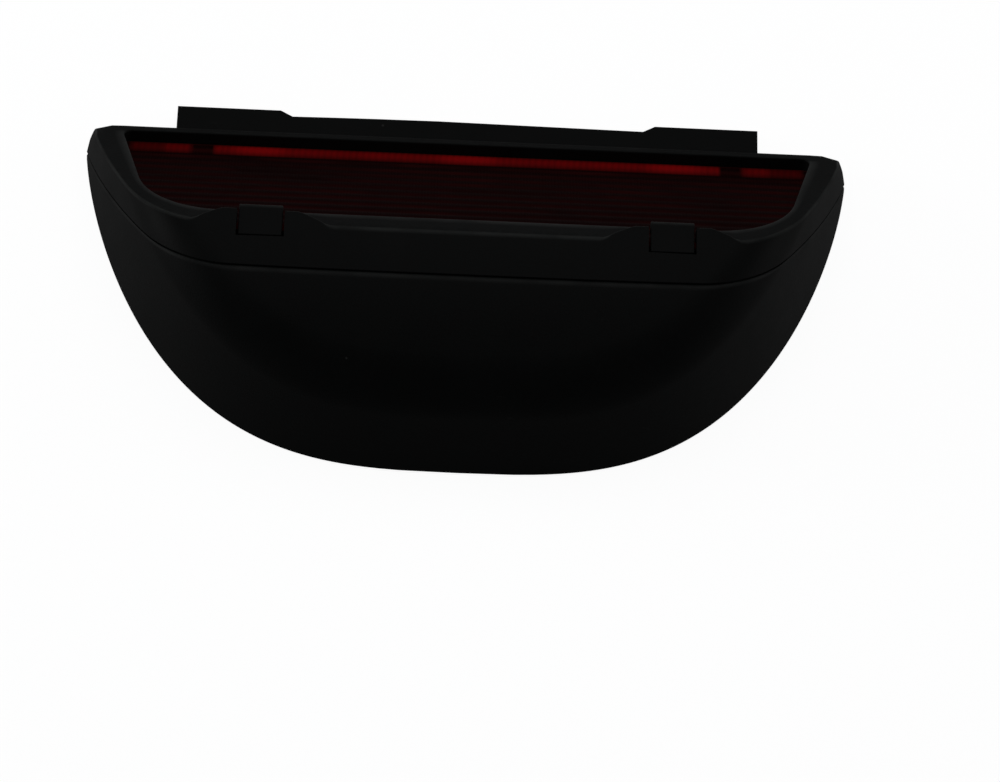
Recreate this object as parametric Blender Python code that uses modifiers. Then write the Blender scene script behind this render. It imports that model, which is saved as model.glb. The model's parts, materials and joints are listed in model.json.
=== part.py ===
"""Third brake light for a parcel shelf: a half-moon plastic housing with a slanted, recessed red lens.

Metres, +Z up. X runs across the car, +Y points to the rear glass (the lens side) and -Y to the
cabin (the round side). The origin is the middle of the footprint, on the shelf.
"""

from math import cos, pi, radians, sin, tan

import bmesh
import bpy
from mathutils import Matrix, Vector

# Overall sizes
OVERALL_WIDTH = 0.275
OVERALL_DEPTH = 0.145
FLANGE_REACH = 0.0132
TOP_HEIGHT = 0.0467
CROWN_RISE = 0.0012
GAP = 0.0003
FIT = 0.0006

# Fineness of round shapes, and the distance under which points are one
ROUND_SIDES = 24
SMALL_SIDES = 16
ARC_STEPS = 6
WELD = 0.000001

# Housing shape
WALL = 0.0025
WALL_DRAFT = radians(16)
EDGE_RADIUS = 0.018
SIDE_POWER = 3.1
END_POWER = 1.48
DOME_CENTRE_BACK = 0.003
REAR_CORNER_RADIUS = 0.0125
NOSE_DROP = 0.45
NOSE_DROP_START = 0.060
RIM_LIFT = 0.0008
DOME_STEPS = 44
EDGE_STEPS = 5
POLE_SHARE = 0.3
CAP_STEPS = 3

# Slanted mouth
MOUTH_SLANT = radians(32)
BAR_HEIGHT = 0.009
RAIL_LIP = 0.0014
BEZEL_DEPTH = 0.0102
SEAM_GAP = 0.0005
RIM_THICKNESS = 0.0022
OPENING_LOW = 0.0022
OPENING_TOP = 0.063
CHEEK_LOW = 0.0135
CHEEK_TOP = 0.0270
OPENING_CORNER = 0.030
OPENING_LOW_CORNER = 0.003
LENS_RECESS = 0.0045
LENS_THICKNESS = 0.0025
LENS_MARGIN = 0.0015
TUNNEL_WALL = 0.0016

# Snap tongues and the raised lands around them
TONGUE_FROM_CORNER = 0.0390
TONGUE_WIDTH = 0.0152
TONGUE_LENGTH = 0.0125
TONGUE_THICKNESS = 0.0019
TONGUE_HOOK = 0.0035
TONGUE_SLIT = 0.0007
TONGUE_REACH = 0.0018
LAND_REACH = 0.0054
LAND_RAMP = 0.0125
LAND_SHOULDER = 0.0055

# Base plate
PAD_HEIGHT = 0.0015
PAD_RADIUS = 0.007
PLATE_THICKNESS = 0.0022
PLATE_MARGIN = 0.0063
PLATE_REAR_CORNER = 0.012
PLATE_JOIN = 0.0024
PLATE_STEPS = 20
FLANGE_SIDE = 0.0323
FLANGE_DIP = 0.0024
FLANGE_BOW = 0.0007
FLANGE_STEPS = 6
FLANGE_END = 0.0416
FLANGE_RAMP = 0.0043
CABLE_SLOT = (0.024, 0.012)
CABLE_SLOT_BACK = 0.042
PAD_REAR = 0.020
PAD_REAR_SIDE = 0.03135
PAD_NOSE = 0.015
PAD_NOSE_SIDE = 0.01593

# Lamp housing and reflectors
HOUSING_WALL = 0.002
CEILING_ROOM = 0.00139
GASKET_THICKNESS = 0.001
GASKET_WIDTH = 0.003
REFLECTOR_WALL = 0.0012
END_REFLECTOR = 0.0190
REFLECTOR_RIB = 0.0078
REFLECTOR_FOCUS = 0.0083
REFLECTOR_FRONT = 0.0175
REFLECTOR_TOP = 0.0150
REFLECTOR_STEPS = 8
EAR_LENGTH = 0.0085
EAR_WIDTH = 0.012
EAR_MARGIN = 0.0024
INNER_EAR_X = 0.024

# Bulbs and sockets
BULB_X = 0.045
BULB_RADIUS = 0.0074
BULB_NECK = 0.0052
BULB_TIP = 0.0400
NECK_LENGTH = 0.004
NECK_SWELL = 0.003
GLASS_WALL = 0.0007
TIP_STEPS = 4
BULB_SIDES = 20
SUPPORT_SIDES = 8
FILAMENT_SIDES = 10
STEM_SIZE = (0.0078, 0.0030, 0.0125)
STEM_CENTRE = -0.0072
SUPPORT_RADIUS = 0.00035
SUPPORT_SPREAD = 0.0026
SUPPORT_ROOT = 0.003
FILAMENT_FRONT = 0.0121
FILAMENT_RADIUS = 0.0005
FILAMENT_LENGTH = 0.0060
BARREL_RADIUS = 0.0080
SOCKET_BORE = 0.0060
SOCKET_BORE_DEPTH = 0.0142
SOCKET_RIM = 0.0025
SOCKET_STEP = 0.0010
SOCKET_LENGTH = 0.020
SOCKET_CLEARANCE = 0.0010
BOOT_RADIUS = 0.0040
BOOT_LENGTH = 0.006
BOOT_TAPER = 0.0008
WING_SIZE = (0.0236, 0.0030, 0.0100)
WING_CENTRE = -0.0203
SOCKET_TRAVEL = radians(40)
SEAL_RADIUS = 0.0007
SEAL_STEPS = 8
LUG_COUNT = 3
LUG_REACH = 0.0017
LUG_WIDTH = 0.005
LUG_THICKNESS = 0.0013
CONTACT_SIZE = (0.0005, 0.0030, 0.0085)
CONTACT_SPREAD = 0.0048
CONTACT_CENTRE = -0.0091

# Connector and leads
CONNECTOR_SIZE = (0.022, 0.020, 0.012)
CONNECTOR_WALL = 0.0018
CONNECTOR_CAVITY = 0.012
PIN_RECESS = 0.0025
LEAD_ENTRY = 0.005
LOCK_OVERHANG = 0.0005
CONNECTOR_BACK = 0.078
PIN_SIZE = (0.0028, 0.009, 0.0008)
PIN_SPACING = 0.008
LOCK_SIZE = (0.008, 0.014, 0.0015)
LEAD_RADIUS = 0.0016
# Bends of a lead: inward from the bulb, back from the boot, down from the bulb's axis
LEAD_BENDS = ((0.0, 0.0040, 0.0), (0.0030, 0.0085, 0.0010), (0.0100, 0.0100, 0.0030))
LEAD_LOW_IN = 0.017
LEAD_LOW_BACK = 0.006
LEAD_LOW_RISE = 0.001
LEAD_LEVEL_IN = 0.023
LEAD_LEVEL_BACK = 0.002
LEAD_STRAIGHT = 0.003
GROMMET_RADIUS = 0.0032
GROMMET_LENGTH = 0.003

# Small parts
SCREW_SHANK = 0.0016
SCREW_HEAD = 0.0034
SCREW_HEAD_HEIGHT = 0.002
SCREW_HEAD_CHAMFER = 0.0008
NUT_SIZE = (0.014, 0.012, 0.001)
NUT_BACK = 0.090
NUT_MARGIN = 0.01409
NUT_BORE = 0.0024
NUT_COLLAR = 0.0038
NUT_COLLAR_HEIGHT = 0.003
CLIP_BACK = 0.078
CLIP_MARGIN = 0.0125
CLIP_FOOT = 0.008
CLIP_BULGE = 0.0012
CLIP_TOP_STEP = 0.0006
CLIP_WIDTH = 0.010
CLIP_HEIGHT = 0.012
CLIP_STRIP = 0.0008
CLIP_WAIST = 0.6
SHIELD_BEYOND_BULB = 0.015
SHIELD_STRIP = 0.0008
SHIELD_BACK = 0.0612
SHIELD_LENGTH = 0.026
SHIELD_LIP = 0.004
SHIELD_UNDER_TOP = 0.0089
SHIELD_LIP_DROP = 0.0016
SHIELD_TAIL_DROP = 0.0026
VENT_RADIUS = 0.004
VENT_LENGTH = 0.003
VENT_CHAMFER = 0.0008
VENT_HEIGHT = 0.024

# Places and sizes worked out from the sizes above
OPENING_LOW_HALF = OVERALL_WIDTH / 2 - CHEEK_LOW
OPENING_TOP_HALF = OVERALL_WIDTH / 2 - CHEEK_TOP
TONGUE_X = OPENING_TOP_HALF - TONGUE_FROM_CORNER
FLANGE_HALF = OVERALL_WIDTH / 2 - FLANGE_SIDE
FLANGE_DIP_HALF = FLANGE_HALF - FLANGE_END
REFLECTOR_HALF = OPENING_TOP_HALF - END_REFLECTOR
PLATE_INSET = WALL + PLATE_MARGIN
SHIELD_HALF = BULB_X + SHIELD_BEYOND_BULB
BAR_Y = OVERALL_DEPTH / 2 - FLANGE_REACH
RAIL_Y = BAR_Y + RAIL_LIP
DOME_CENTRE_Y = BAR_Y - DOME_CENTRE_BACK
DOME_REACH = DOME_CENTRE_Y + OVERALL_DEPTH / 2
DOME_REAR_REACH = OVERALL_DEPTH / 2
DOME_POLE_Y = DOME_CENTRE_Y - POLE_SHARE * DOME_REACH
PLATE_BOTTOM = PAD_HEIGHT + GAP
PLATE_TOP = PLATE_BOTTOM + PLATE_THICKNESS
HOUSING_FLOOR = PLATE_TOP + GAP
SOCKET_FLANGE = BARREL_RADIUS + SOCKET_RIM
SOCKET_GRIP = BARREL_RADIUS + SOCKET_STEP
BULB_HEIGHT = PLATE_TOP + SOCKET_FLANGE + SOCKET_CLEARANCE
BOOT_END = SOCKET_LENGTH + BOOT_LENGTH
LENS_BACK = LENS_RECESS + LENS_THICKNESS
GASKET_FRONT = LENS_BACK + GAP
HOUSING_FRONT = GASKET_FRONT + GASKET_THICKNESS + GAP
CEILING_UP = OPENING_TOP + LENS_MARGIN - FIT - HOUSING_WALL
CEILING_Z = BAR_HEIGHT + CEILING_UP * sin(MOUTH_SLANT)
CEILING_BACK = CEILING_UP * cos(MOUTH_SLANT)
LUG_TOP = BULB_HEIGHT + BARREL_RADIUS + LUG_REACH
HOUSING_BACK = CEILING_BACK + (CEILING_Z - LUG_TOP - CEILING_ROOM) * tan(MOUTH_SLANT) + HOUSING_WALL
BACK_Y = BAR_Y - HOUSING_BACK
SOCKET_FRONT = HOUSING_WALL + GAP + LUG_THICKNESS
MOUTH = Matrix.Translation((0, BAR_Y, BAR_HEIGHT)) @ Matrix.Rotation(-MOUTH_SLANT, 4, "X")
LARGE = 0.4
THROUGH = 0.05
HOLE_LENGTH = 0.02

PLASTIC = ("black_plastic", (0.012, 0.014, 0.013), 0.55, 0.0)
DARK_PLASTIC = ("lamp_plastic", (0.03, 0.03, 0.032), 0.5, 0.0)
RED = ("red_lens_plastic", (0.30, 0.01, 0.01), 0.15, 0.0)
RUBBER = ("black_rubber", (0.02, 0.02, 0.02), 0.8, 0.0)
FOAM = ("grey_foam", (0.08, 0.08, 0.085), 0.95, 0.0)
BRIGHT = ("bright_aluminium", (0.85, 0.85, 0.86), 0.12, 1.0)
GLASS = ("bulb_glass_clear", (0.9, 0.92, 0.92), 0.05, 0.0)
TUNGSTEN = ("tungsten", (0.35, 0.34, 0.33), 0.4, 1.0)
NATURAL = ("natural_nylon", (0.62, 0.58, 0.48), 0.5, 0.0)
BRASS = ("contact_brass", (0.72, 0.55, 0.28), 0.3, 1.0)
STEEL = ("zinc_steel", (0.55, 0.56, 0.55), 0.35, 1.0)

for leftover in list(bpy.data.objects):
    bpy.data.objects.remove(leftover)


def new_collection(name, hidden):
    collection = bpy.data.collections.new(name)
    bpy.context.scene.collection.children.link(collection)
    collection.hide_render = hidden
    return collection


PARTS = new_collection("third_brake_light", False)
CUTTERS = new_collection("cutters", True)


def material(look):
    """The Principled material for a (name, colour, roughness, metallic) look, made once."""
    name, colour, roughness, metallic = look
    if name in bpy.data.materials:
        return bpy.data.materials[name]
    made = bpy.data.materials.new(name)
    made.use_nodes = True
    shader = made.node_tree.nodes["Principled BSDF"]
    shader.inputs["Base Color"].default_value = (*colour, 1)
    shader.inputs["Roughness"].default_value = roughness
    shader.inputs["Metallic"].default_value = metallic
    made.diffuse_color = (*colour, 1)
    return made


def link(obj, look=None):
    """Puts an object among the parts with its look, or among the cutters without one."""
    if look is None:
        CUTTERS.objects.link(obj)
        obj.hide_render = True
        obj.display_type = "WIRE"
    else:
        PARTS.objects.link(obj)
        obj.data.materials.clear()
        obj.data.materials.append(material(look))
    return obj


def from_bmesh(name, shape, look=None, place=Matrix()):
    mesh = bpy.data.meshes.new(name)
    shape.to_mesh(mesh)
    shape.free()
    obj = link(bpy.data.objects.new(name, mesh), look)
    obj.matrix_world = place
    return obj


def box(name, size, centre, look=None, place=Matrix()):
    shape = bmesh.new()
    bmesh.ops.create_cube(shape, size=1)
    bmesh.ops.scale(shape, vec=size, verts=shape.verts)
    bmesh.ops.translate(shape, vec=centre, verts=shape.verts)
    return from_bmesh(name, shape, look, place)


def cylinder(name, radius, length, centre, axis="Z", look=None, sides=ROUND_SIDES):
    """A closed cylinder, centred, along the named axis."""
    turn = {"X": Matrix.Rotation(pi / 2, 4, "Y"), "Y": Matrix.Rotation(pi / 2, 4, "X"), "Z": Matrix()}[axis]
    shape = bmesh.new()
    bmesh.ops.create_cone(
        shape, cap_ends=True, segments=sides, radius1=radius, radius2=radius, depth=length, matrix=turn
    )
    return from_bmesh(name, shape, look, Matrix.Translation(centre))


def hole(obj, name, radius, centre, axis="Z", length=HOLE_LENGTH):
    """Drills a round hole through the object, along the named axis."""
    boolean(obj, cylinder(name, radius, length, centre, axis))


def curve_mesh(curve, name, look, place):
    """Turns a curve object into a welded mesh object at the given place."""
    bpy.context.scene.collection.objects.link(curve)
    graph = bpy.context.evaluated_depsgraph_get()
    mesh = bpy.data.meshes.new_from_object(curve.evaluated_get(graph))
    mesh.name = name
    shape = bmesh.new()
    shape.from_mesh(mesh)
    bmesh.ops.remove_doubles(shape, verts=shape.verts, dist=WELD)
    bmesh.ops.recalc_face_normals(shape, faces=shape.faces)
    shape.to_mesh(mesh)
    shape.free()
    bpy.data.objects.remove(curve)
    obj = link(bpy.data.objects.new(name, mesh), look)
    obj.matrix_world = place
    return obj


def slab(name, outline, low, high, look=None, place=Matrix()):
    """A flat outline in X and Y, made solid from low to high in Z."""
    data = bpy.data.curves.new(name, "CURVE")
    data.dimensions = "2D"
    data.fill_mode = "BOTH"
    data.extrude = (high - low) / 2
    spline = data.splines.new("POLY")
    spline.points.add(len(outline) - 1)
    for point, (x, y) in zip(spline.points, outline):
        point.co = (x, y, 0, 1)
    spline.use_cyclic_u = True
    middle = Matrix.Translation((0, 0, (low + high) / 2))
    return curve_mesh(bpy.data.objects.new(name, data), name, look, place @ middle)


def side_slab(name, outline, left, right, look=None):
    """A flat outline in Y and Z, made solid from left to right in X."""
    upright = Matrix(((0, 0, 1, 0), (1, 0, 0, 0), (0, 1, 0, 0), (0, 0, 0, 1)))
    return slab(name, outline, left, right, look, upright)


def turned(name, profile, place, look, steps=ROUND_SIDES):
    """A profile of (radius, height) points turned about Z. The profile runs down its outer side."""
    mesh = bpy.data.meshes.new(name)
    mesh.from_pydata([(r, 0, z) for r, z in profile], [(i, i + 1) for i in range(len(profile) - 1)], [])
    obj = link(bpy.data.objects.new(name, mesh), look)
    obj.matrix_world = place
    screw = obj.modifiers.new("Turn", "SCREW")
    screw.steps = steps
    screw.render_steps = steps
    screw.use_merge_vertices = True
    screw.merge_threshold = WELD
    return obj


def tube(name, points, radius, look):
    """A round lead along a smooth curve through the points."""
    data = bpy.data.curves.new(name, "CURVE")
    data.dimensions = "3D"
    data.bevel_depth = radius
    data.bevel_resolution = 2
    data.use_fill_caps = True
    smooth = smooth_route(points)
    spline = data.splines.new("POLY")
    spline.points.add(len(smooth) - 1)
    for point, place in zip(spline.points, smooth):
        point.co = (*place, 1)
    return link(bpy.data.objects.new(name, data), look)


def smooth_route(points, between=3):
    """Catmull-Rom points through a hand-chosen route."""
    route = [Vector(p) for p in points]
    ends = [2 * route[0] - route[1]] + route + [2 * route[-1] - route[-2]]
    made = []
    for a, b, c, d in zip(ends, ends[1:], ends[2:], ends[3:]):
        for step in range(between):
            t = step / between
            square = 2 * a - 5 * b + 4 * c - d
            cube = 3 * b - a - 3 * c + d
            made.append((2 * b + (c - a) * t + square * t**2 + cube * t**3) / 2)
    return made + [route[-1]]


def boolean(obj, cutter, operation="DIFFERENCE"):
    change = obj.modifiers.new(operation.title(), "BOOLEAN")
    change.operation = operation
    change.object = cutter
    change.solver = "EXACT"


def rounded(corners, radii, steps=ARC_STEPS):
    """A closed outline through the corners, each rounded by an arc of its own radius."""
    outline = []
    count = len(corners)
    for index in range(count):
        before, here, after = (Vector(corners[(index + k) % count]) for k in (-1, 0, 1))
        radius = radii[index]
        to_before = (before - here).normalized()
        to_after = (after - here).normalized()
        if radius == 0:
            outline.append(tuple(here))
            continue
        half = to_before.angle(to_after) / 2
        centre = here + (to_before + to_after).normalized() * radius / sin(half)
        start = here + to_before * radius / tan(half) - centre
        end = here + to_after * radius / tan(half) - centre
        sweep = start.angle_signed(end)
        for step in range(steps + 1):
            turn = Matrix.Rotation(-sweep * step / steps, 2)
            outline.append(tuple(centre + turn @ start))
    return outline


def mirrored(half):
    """A symmetric list of corners from its +X half."""
    return half + [(-x, y) for x, y in reversed(half)]


# ---------------------------------------------------------------- housing shape


def signed_power(value, power):
    return abs(value) ** power * (1 if value >= 0 else -1)


def plan_point(angle, inset):
    """A point of the half-moon footprint, moved in by inset."""
    reach = DOME_REACH if sin(angle) < 0 else DOME_REAR_REACH
    x = (OVERALL_WIDTH / 2 - inset) * signed_power(cos(angle), 2 / SIDE_POWER)
    y = DOME_CENTRE_Y + (reach - inset) * signed_power(sin(angle), 2 / END_POWER)
    return x, y


def plan_half_width(y, inset):
    """Half the footprint's width at this place, moved in by inset."""
    reach = DOME_REACH if y < DOME_CENTRE_Y else DOME_REAR_REACH
    along = abs(y - DOME_CENTRE_Y) / (reach - inset)
    return (OVERALL_WIDTH / 2 - inset) * (1 - along**END_POWER) ** (1 / SIDE_POWER)


def height_share(y):
    """How much of the full height is left where the top runs down towards the cabin."""
    start = BAR_Y - NOSE_DROP_START
    run = start + OVERALL_DEPTH / 2
    return 1 - NOSE_DROP * max(0.0, (start - y) / run) ** 2


def edge_levels():
    """(inset, height, slope angle) from the foot of the wall to the start of the top."""
    arc_foot = TOP_HEIGHT - EDGE_RADIUS + EDGE_RADIUS * sin(WALL_DRAFT)
    arc_centre = arc_foot * tan(WALL_DRAFT) + EDGE_RADIUS * cos(WALL_DRAFT)
    levels = [(0, 0, WALL_DRAFT)]
    for step in range(EDGE_STEPS + 1):
        slope = WALL_DRAFT + (pi / 2 - WALL_DRAFT) * step / EDGE_STEPS
        inset = arc_centre - EDGE_RADIUS * cos(slope)
        levels.append((inset, TOP_HEIGHT - EDGE_RADIUS + EDGE_RADIUS * sin(slope), slope))
    return levels


def dome(name, depth, foot, look=None):
    """The closed half-moon solid, its surface moved in by depth, standing at the foot height."""
    shape = bmesh.new()
    angles = [2 * pi * k / DOME_STEPS for k in range(DOME_STEPS)]
    rings = []
    for inset, height, slope in edge_levels():
        ring = []
        for angle in angles:
            x, y = plan_point(angle, inset + depth * cos(slope))
            z = height * height_share(y) - depth * sin(slope)
            ring.append(shape.verts.new((x, y, foot if height == 0 else z)))
        rings.append(ring)
    top_ring = [vertex.co.copy() for vertex in rings[-1]]
    for step in range(1, CAP_STEPS):
        share = 1 - step / CAP_STEPS
        ring = []
        for point in top_ring:
            y = DOME_POLE_Y + (point.y - DOME_POLE_Y) * share
            z = TOP_HEIGHT * height_share(y) + CROWN_RISE * (1 - share**2) - depth
            ring.append(shape.verts.new((point.x * share, y, z)))
        rings.append(ring)
    for low, high in zip(rings, rings[1:]):
        for k in range(DOME_STEPS):
            n = (k + 1) % DOME_STEPS
            shape.faces.new((low[k], low[n], high[n], high[k]))
    pole_height = TOP_HEIGHT * height_share(DOME_POLE_Y) + CROWN_RISE - depth
    pole = shape.verts.new((0, DOME_POLE_Y, pole_height))
    for k in range(DOME_STEPS):
        shape.faces.new((rings[-1][k], rings[-1][(k + 1) % DOME_STEPS], pole))
    shape.faces.new(list(reversed(rings[0])))
    bmesh.ops.recalc_face_normals(shape, faces=shape.faces)
    return from_bmesh(name, shape, look)


def rear_trim(name, inset):
    """The upright block that gives the housing its straight rear face with round corners."""
    half = OVERALL_WIDTH / 2 + FIT - inset
    corners = [(half, -LARGE), (half, RAIL_Y - inset), (-half, RAIL_Y - inset), (-half, -LARGE)]
    radius = REAR_CORNER_RADIUS - inset
    return slab(name, rounded(corners, [0, radius, radius, 0]), -LARGE, LARGE)


def mouth_box(name, high, low):
    """A large box between two depths behind the mouth plane. Depths behind it are positive."""
    return box(name, (LARGE, LARGE, low - high), (0, 0, -(low + high) / 2), place=MOUTH)


def opening_outline(grow):
    """The mouth's opening in the mouth plane, grown outwards."""
    half = [
        (OPENING_LOW_HALF + grow, -OPENING_LOW + grow),
        (OPENING_TOP_HALF + grow, -OPENING_TOP - grow),
    ]
    radii = [OPENING_LOW_CORNER + grow, OPENING_CORNER + grow]
    return rounded(mirrored(half), radii + radii[::-1])


def top_edge_y():
    """Where the mouth plane meets the housing's top."""
    return BAR_Y - (TOP_HEIGHT - BAR_HEIGHT) / tan(MOUTH_SLANT)


def land_outline(side):
    """The raised land around one tongue, seen from above."""
    edge = top_edge_y()
    back = edge - FIT
    shoulder = TONGUE_WIDTH / 2 + LAND_SHOULDER
    near = TONGUE_X - shoulder
    far = TONGUE_X + shoulder
    half = [
        (near - LAND_RAMP, back),
        (near, edge + LAND_REACH),
        (far, edge + LAND_REACH),
        (far + LAND_RAMP, back),
        (far, back - 2 * WALL),
        (near, back - 2 * WALL),
    ]
    return [(side * x, y) for x, y in half][:: side]


def front_bezel(above_mouth, inner):
    bezel = dome("front_bezel", 0, RIM_LIFT, PLASTIC)
    boolean(bezel, rear_trim("bezel_trim", 0), "INTERSECT")
    boolean(bezel, above_mouth)
    boolean(bezel, mouth_box("bezel_depth_cut", BEZEL_DEPTH, LARGE))
    boolean(bezel, inner)
    tunnel_outline = opening_outline(TUNNEL_WALL)
    tunnel = slab("bezel_tunnel", tunnel_outline, GAP - LENS_RECESS, -RIM_THICKNESS / 2, place=MOUTH)
    boolean(bezel, tunnel, "UNION")
    for side in (-1, 1):
        land = slab(f"land_{side}", land_outline(side), TOP_HEIGHT - WALL, TOP_HEIGHT - GAP)
        boolean(bezel, land, "UNION")
    boolean(bezel, slab("bezel_opening", opening_outline(0), -THROUGH, THROUGH, place=MOUTH))
    edge = top_edge_y()
    root = edge + LAND_REACH + TONGUE_REACH - TONGUE_LENGTH
    for side in (-1, 1):
        slot_width = TONGUE_WIDTH + 2 * TONGUE_SLIT
        slot = box(
            f"tongue_slot_{side}",
            (slot_width, LAND_REACH * 4, 2 * EDGE_RADIUS),
            (side * TONGUE_X, root - TONGUE_SLIT + LAND_REACH * 2, TOP_HEIGHT),
        )
        boolean(bezel, slot)
    notch_height = PLATE_TOP + FIT
    notch = box(
        "flange_notch",
        (2 * (FLANGE_HALF + FIT), 4 * REAR_CORNER_RADIUS, 2 * notch_height),
        (0, RAIL_Y, 0),
    )
    boolean(bezel, notch)


def rear_cover(inner):
    cover = dome("rear_cover", 0, RIM_LIFT, PLASTIC)
    boolean(cover, rear_trim("cover_trim", 0), "INTERSECT")
    boolean(cover, mouth_box("cover_front_cut", -LARGE, BEZEL_DEPTH + SEAM_GAP))
    boolean(cover, inner)


def latch_tongue(side, name):
    """A snap tongue with a hook under its tip. Its origin is on the living hinge at its root."""
    tip = top_edge_y() + LAND_REACH + TONGUE_REACH
    root = tip - TONGUE_LENGTH
    low = TOP_HEIGHT - GAP - TONGUE_THICKNESS
    profile = [
        (0, -TONGUE_THICKNESS / 2),
        (TONGUE_LENGTH - TONGUE_THICKNESS, -TONGUE_THICKNESS / 2),
        (TONGUE_LENGTH - TONGUE_THICKNESS, -TONGUE_THICKNESS / 2 - TONGUE_HOOK),
        (TONGUE_LENGTH, -TONGUE_THICKNESS / 2),
        (TONGUE_LENGTH, TONGUE_THICKNESS / 4),
        (TONGUE_LENGTH - TONGUE_THICKNESS / 2, TONGUE_THICKNESS / 2),
        (0, TONGUE_THICKNESS / 2),
    ]
    tongue = side_slab(name, profile, -TONGUE_WIDTH / 2, TONGUE_WIDTH / 2, PLASTIC)
    hinge = Matrix.Translation((side * TONGUE_X, root, low + TONGUE_THICKNESS / 2))
    tongue.matrix_world = hinge @ tongue.matrix_world


# ---------------------------------------------------------------- lens, gasket, lamp housing


def mouth_outline(grow, low_grow=0.0):
    """The lens outline in the mouth plane: the opening grown by the lens margin and by grow."""
    edge = LENS_MARGIN + grow
    half = [
        (OPENING_LOW_HALF + edge, -OPENING_LOW - LENS_THICKNESS / 2 + grow + low_grow),
        (OPENING_TOP_HALF + edge, -OPENING_TOP - edge),
    ]
    radii = [OPENING_LOW_CORNER, OPENING_CORNER + edge]
    return rounded(mirrored(half), radii + radii[::-1])


def lens():
    slab("lens", mouth_outline(0), -LENS_BACK, -LENS_RECESS, RED, MOUTH)


def lens_gasket():
    outer = mouth_outline(-FIT, -GASKET_THICKNESS)
    gasket = slab("lens_gasket", outer, -GASKET_FRONT - GASKET_THICKNESS, -GASKET_FRONT, FOAM, MOUTH)
    boolean(gasket, slab("gasket_hole", mouth_outline(-GASKET_WIDTH - FIT), -THROUGH, THROUGH, place=MOUTH))


def housing_block(name, inset, depth, look=None):
    """The wedge behind the lens: its outline run back from the lens, kept above the floor."""
    block = slab(name, mouth_outline(-FIT - inset), -LARGE / 4, -depth, look, MOUTH)
    floor = HOUSING_FLOOR + inset
    keep = box(
        f"{name}_room",
        (LARGE, 2 * (HOUSING_BACK - inset), LARGE - floor),
        (0, BAR_Y, floor + (LARGE - floor) / 2),
    )
    boolean(block, keep, "INTERSECT")
    plan = [plan_point(2 * pi * k / DOME_STEPS, PLATE_INSET + inset) for k in range(DOME_STEPS)]
    boolean(block, slab(f"{name}_plan", plan, -LARGE, LARGE), "INTERSECT")
    return block


def screw_places():
    """The four screws, one through each ear: left outer, left inner, right outer, right inner."""
    outer = plan_half_width(BACK_Y - EAR_LENGTH, PLATE_INSET) - EAR_WIDTH / 2 - EAR_MARGIN
    return [(side * x, BACK_Y - EAR_LENGTH / 2) for side in (-1, 1) for x in (outer, INNER_EAR_X)]


def lamp_housing():
    housing = housing_block("lamp_housing", 0, HOUSING_FRONT, DARK_PLASTIC)
    boolean(housing, housing_block("housing_hollow", HOUSING_WALL, 0))
    for number, (x, y) in enumerate(screw_places(), 1):
        size = (EAR_WIDTH, EAR_LENGTH + HOUSING_WALL, HOUSING_WALL)
        ear = box(f"ear_{number}", size, (x, y + HOUSING_WALL / 2, HOUSING_FLOOR + HOUSING_WALL / 2))
        boolean(housing, ear, "UNION")
        hole(housing, f"ear_hole_{number}", SCREW_SHANK + GAP, (x, y, 0))
    for side in (-1, 1):
        axis_point = (side * BULB_X, BACK_Y, BULB_HEIGHT)
        hole(housing, f"housing_socket_hole_{side}", BARREL_RADIUS + FIT, axis_point, "Y")
        for turn in range(LUG_COUNT):
            boolean(housing, lug_notch(f"lug_notch_{side}_{turn}", side, turn))


def lug_notch(name, side, turn):
    """The gap in the socket hole that lets one lug in, the socket's travel away from its locked place."""
    reach = BARREL_RADIUS + LUG_REACH + FIT
    size = (LUG_WIDTH + 2 * FIT, HOLE_LENGTH, reach)
    place = Matrix.Translation((side * BULB_X, BACK_Y, BULB_HEIGHT))
    spin = Matrix.Rotation(2 * pi * turn / LUG_COUNT + SOCKET_TRAVEL, 4, "Y")
    return box(name, size, (0, 0, reach / 2), place=place @ spin)


def trough(wall):
    """The reflector's section in Y and Z, moved in by wall: a flat floor and a parabola about the bulb."""
    vertex = BACK_Y + HOUSING_WALL + GAP + wall
    low = HOUSING_FLOOR + HOUSING_WALL + GAP + wall
    bottom = low - BULB_HEIGHT
    points = [(BAR_Y - REFLECTOR_FRONT, low)]
    for step in range(REFLECTOR_STEPS + 1):
        rise = bottom + (REFLECTOR_TOP - bottom) * step / REFLECTOR_STEPS
        points.append((vertex + rise**2 / (4 * REFLECTOR_FOCUS), BULB_HEIGHT + rise))
    return points


def reflector(name, left, right):
    """A bright trough with end walls, open to the lens."""
    outer = side_slab(name, trough(0), left, right, BRIGHT)
    section = trough(REFLECTOR_WALL)
    front, front_floor = section[0]
    top, top_height = section[-1]
    open_side = [
        (top, top_height + HOLE_LENGTH),
        (front + HOLE_LENGTH, top_height + HOLE_LENGTH),
        (front + HOLE_LENGTH, front_floor),
    ]
    hollow = side_slab(f"{name}_hollow", section + open_side, left + REFLECTOR_WALL, right - REFLECTOR_WALL)
    boolean(outer, hollow)
    return outer


def reflectors():
    centre = reflector("reflector_centre", -REFLECTOR_HALF, REFLECTOR_HALF)
    for side in (-1, 1):
        axis_point = (side * BULB_X, BACK_Y, BULB_HEIGHT)
        hole(centre, f"reflector_hole_{side}", BARREL_RADIUS + LUG_REACH + FIT, axis_point, "Y")
    inner = REFLECTOR_HALF + REFLECTOR_RIB
    outer = OPENING_TOP_HALF - HOUSING_WALL
    for side, name in ((-1, "reflector_left"), (1, "reflector_right")):
        left, right = sorted((side * inner, side * outer))
        piece = reflector(name, left, right)
        boolean(piece, housing_block(f"{name}_room", HOUSING_WALL + GAP, HOUSING_FRONT), "INTERSECT")


# ---------------------------------------------------------------- base plate


def nut_place(side):
    y = BAR_Y - NUT_BACK
    return side * (plan_half_width(y, PLATE_INSET) - NUT_MARGIN), y


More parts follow.
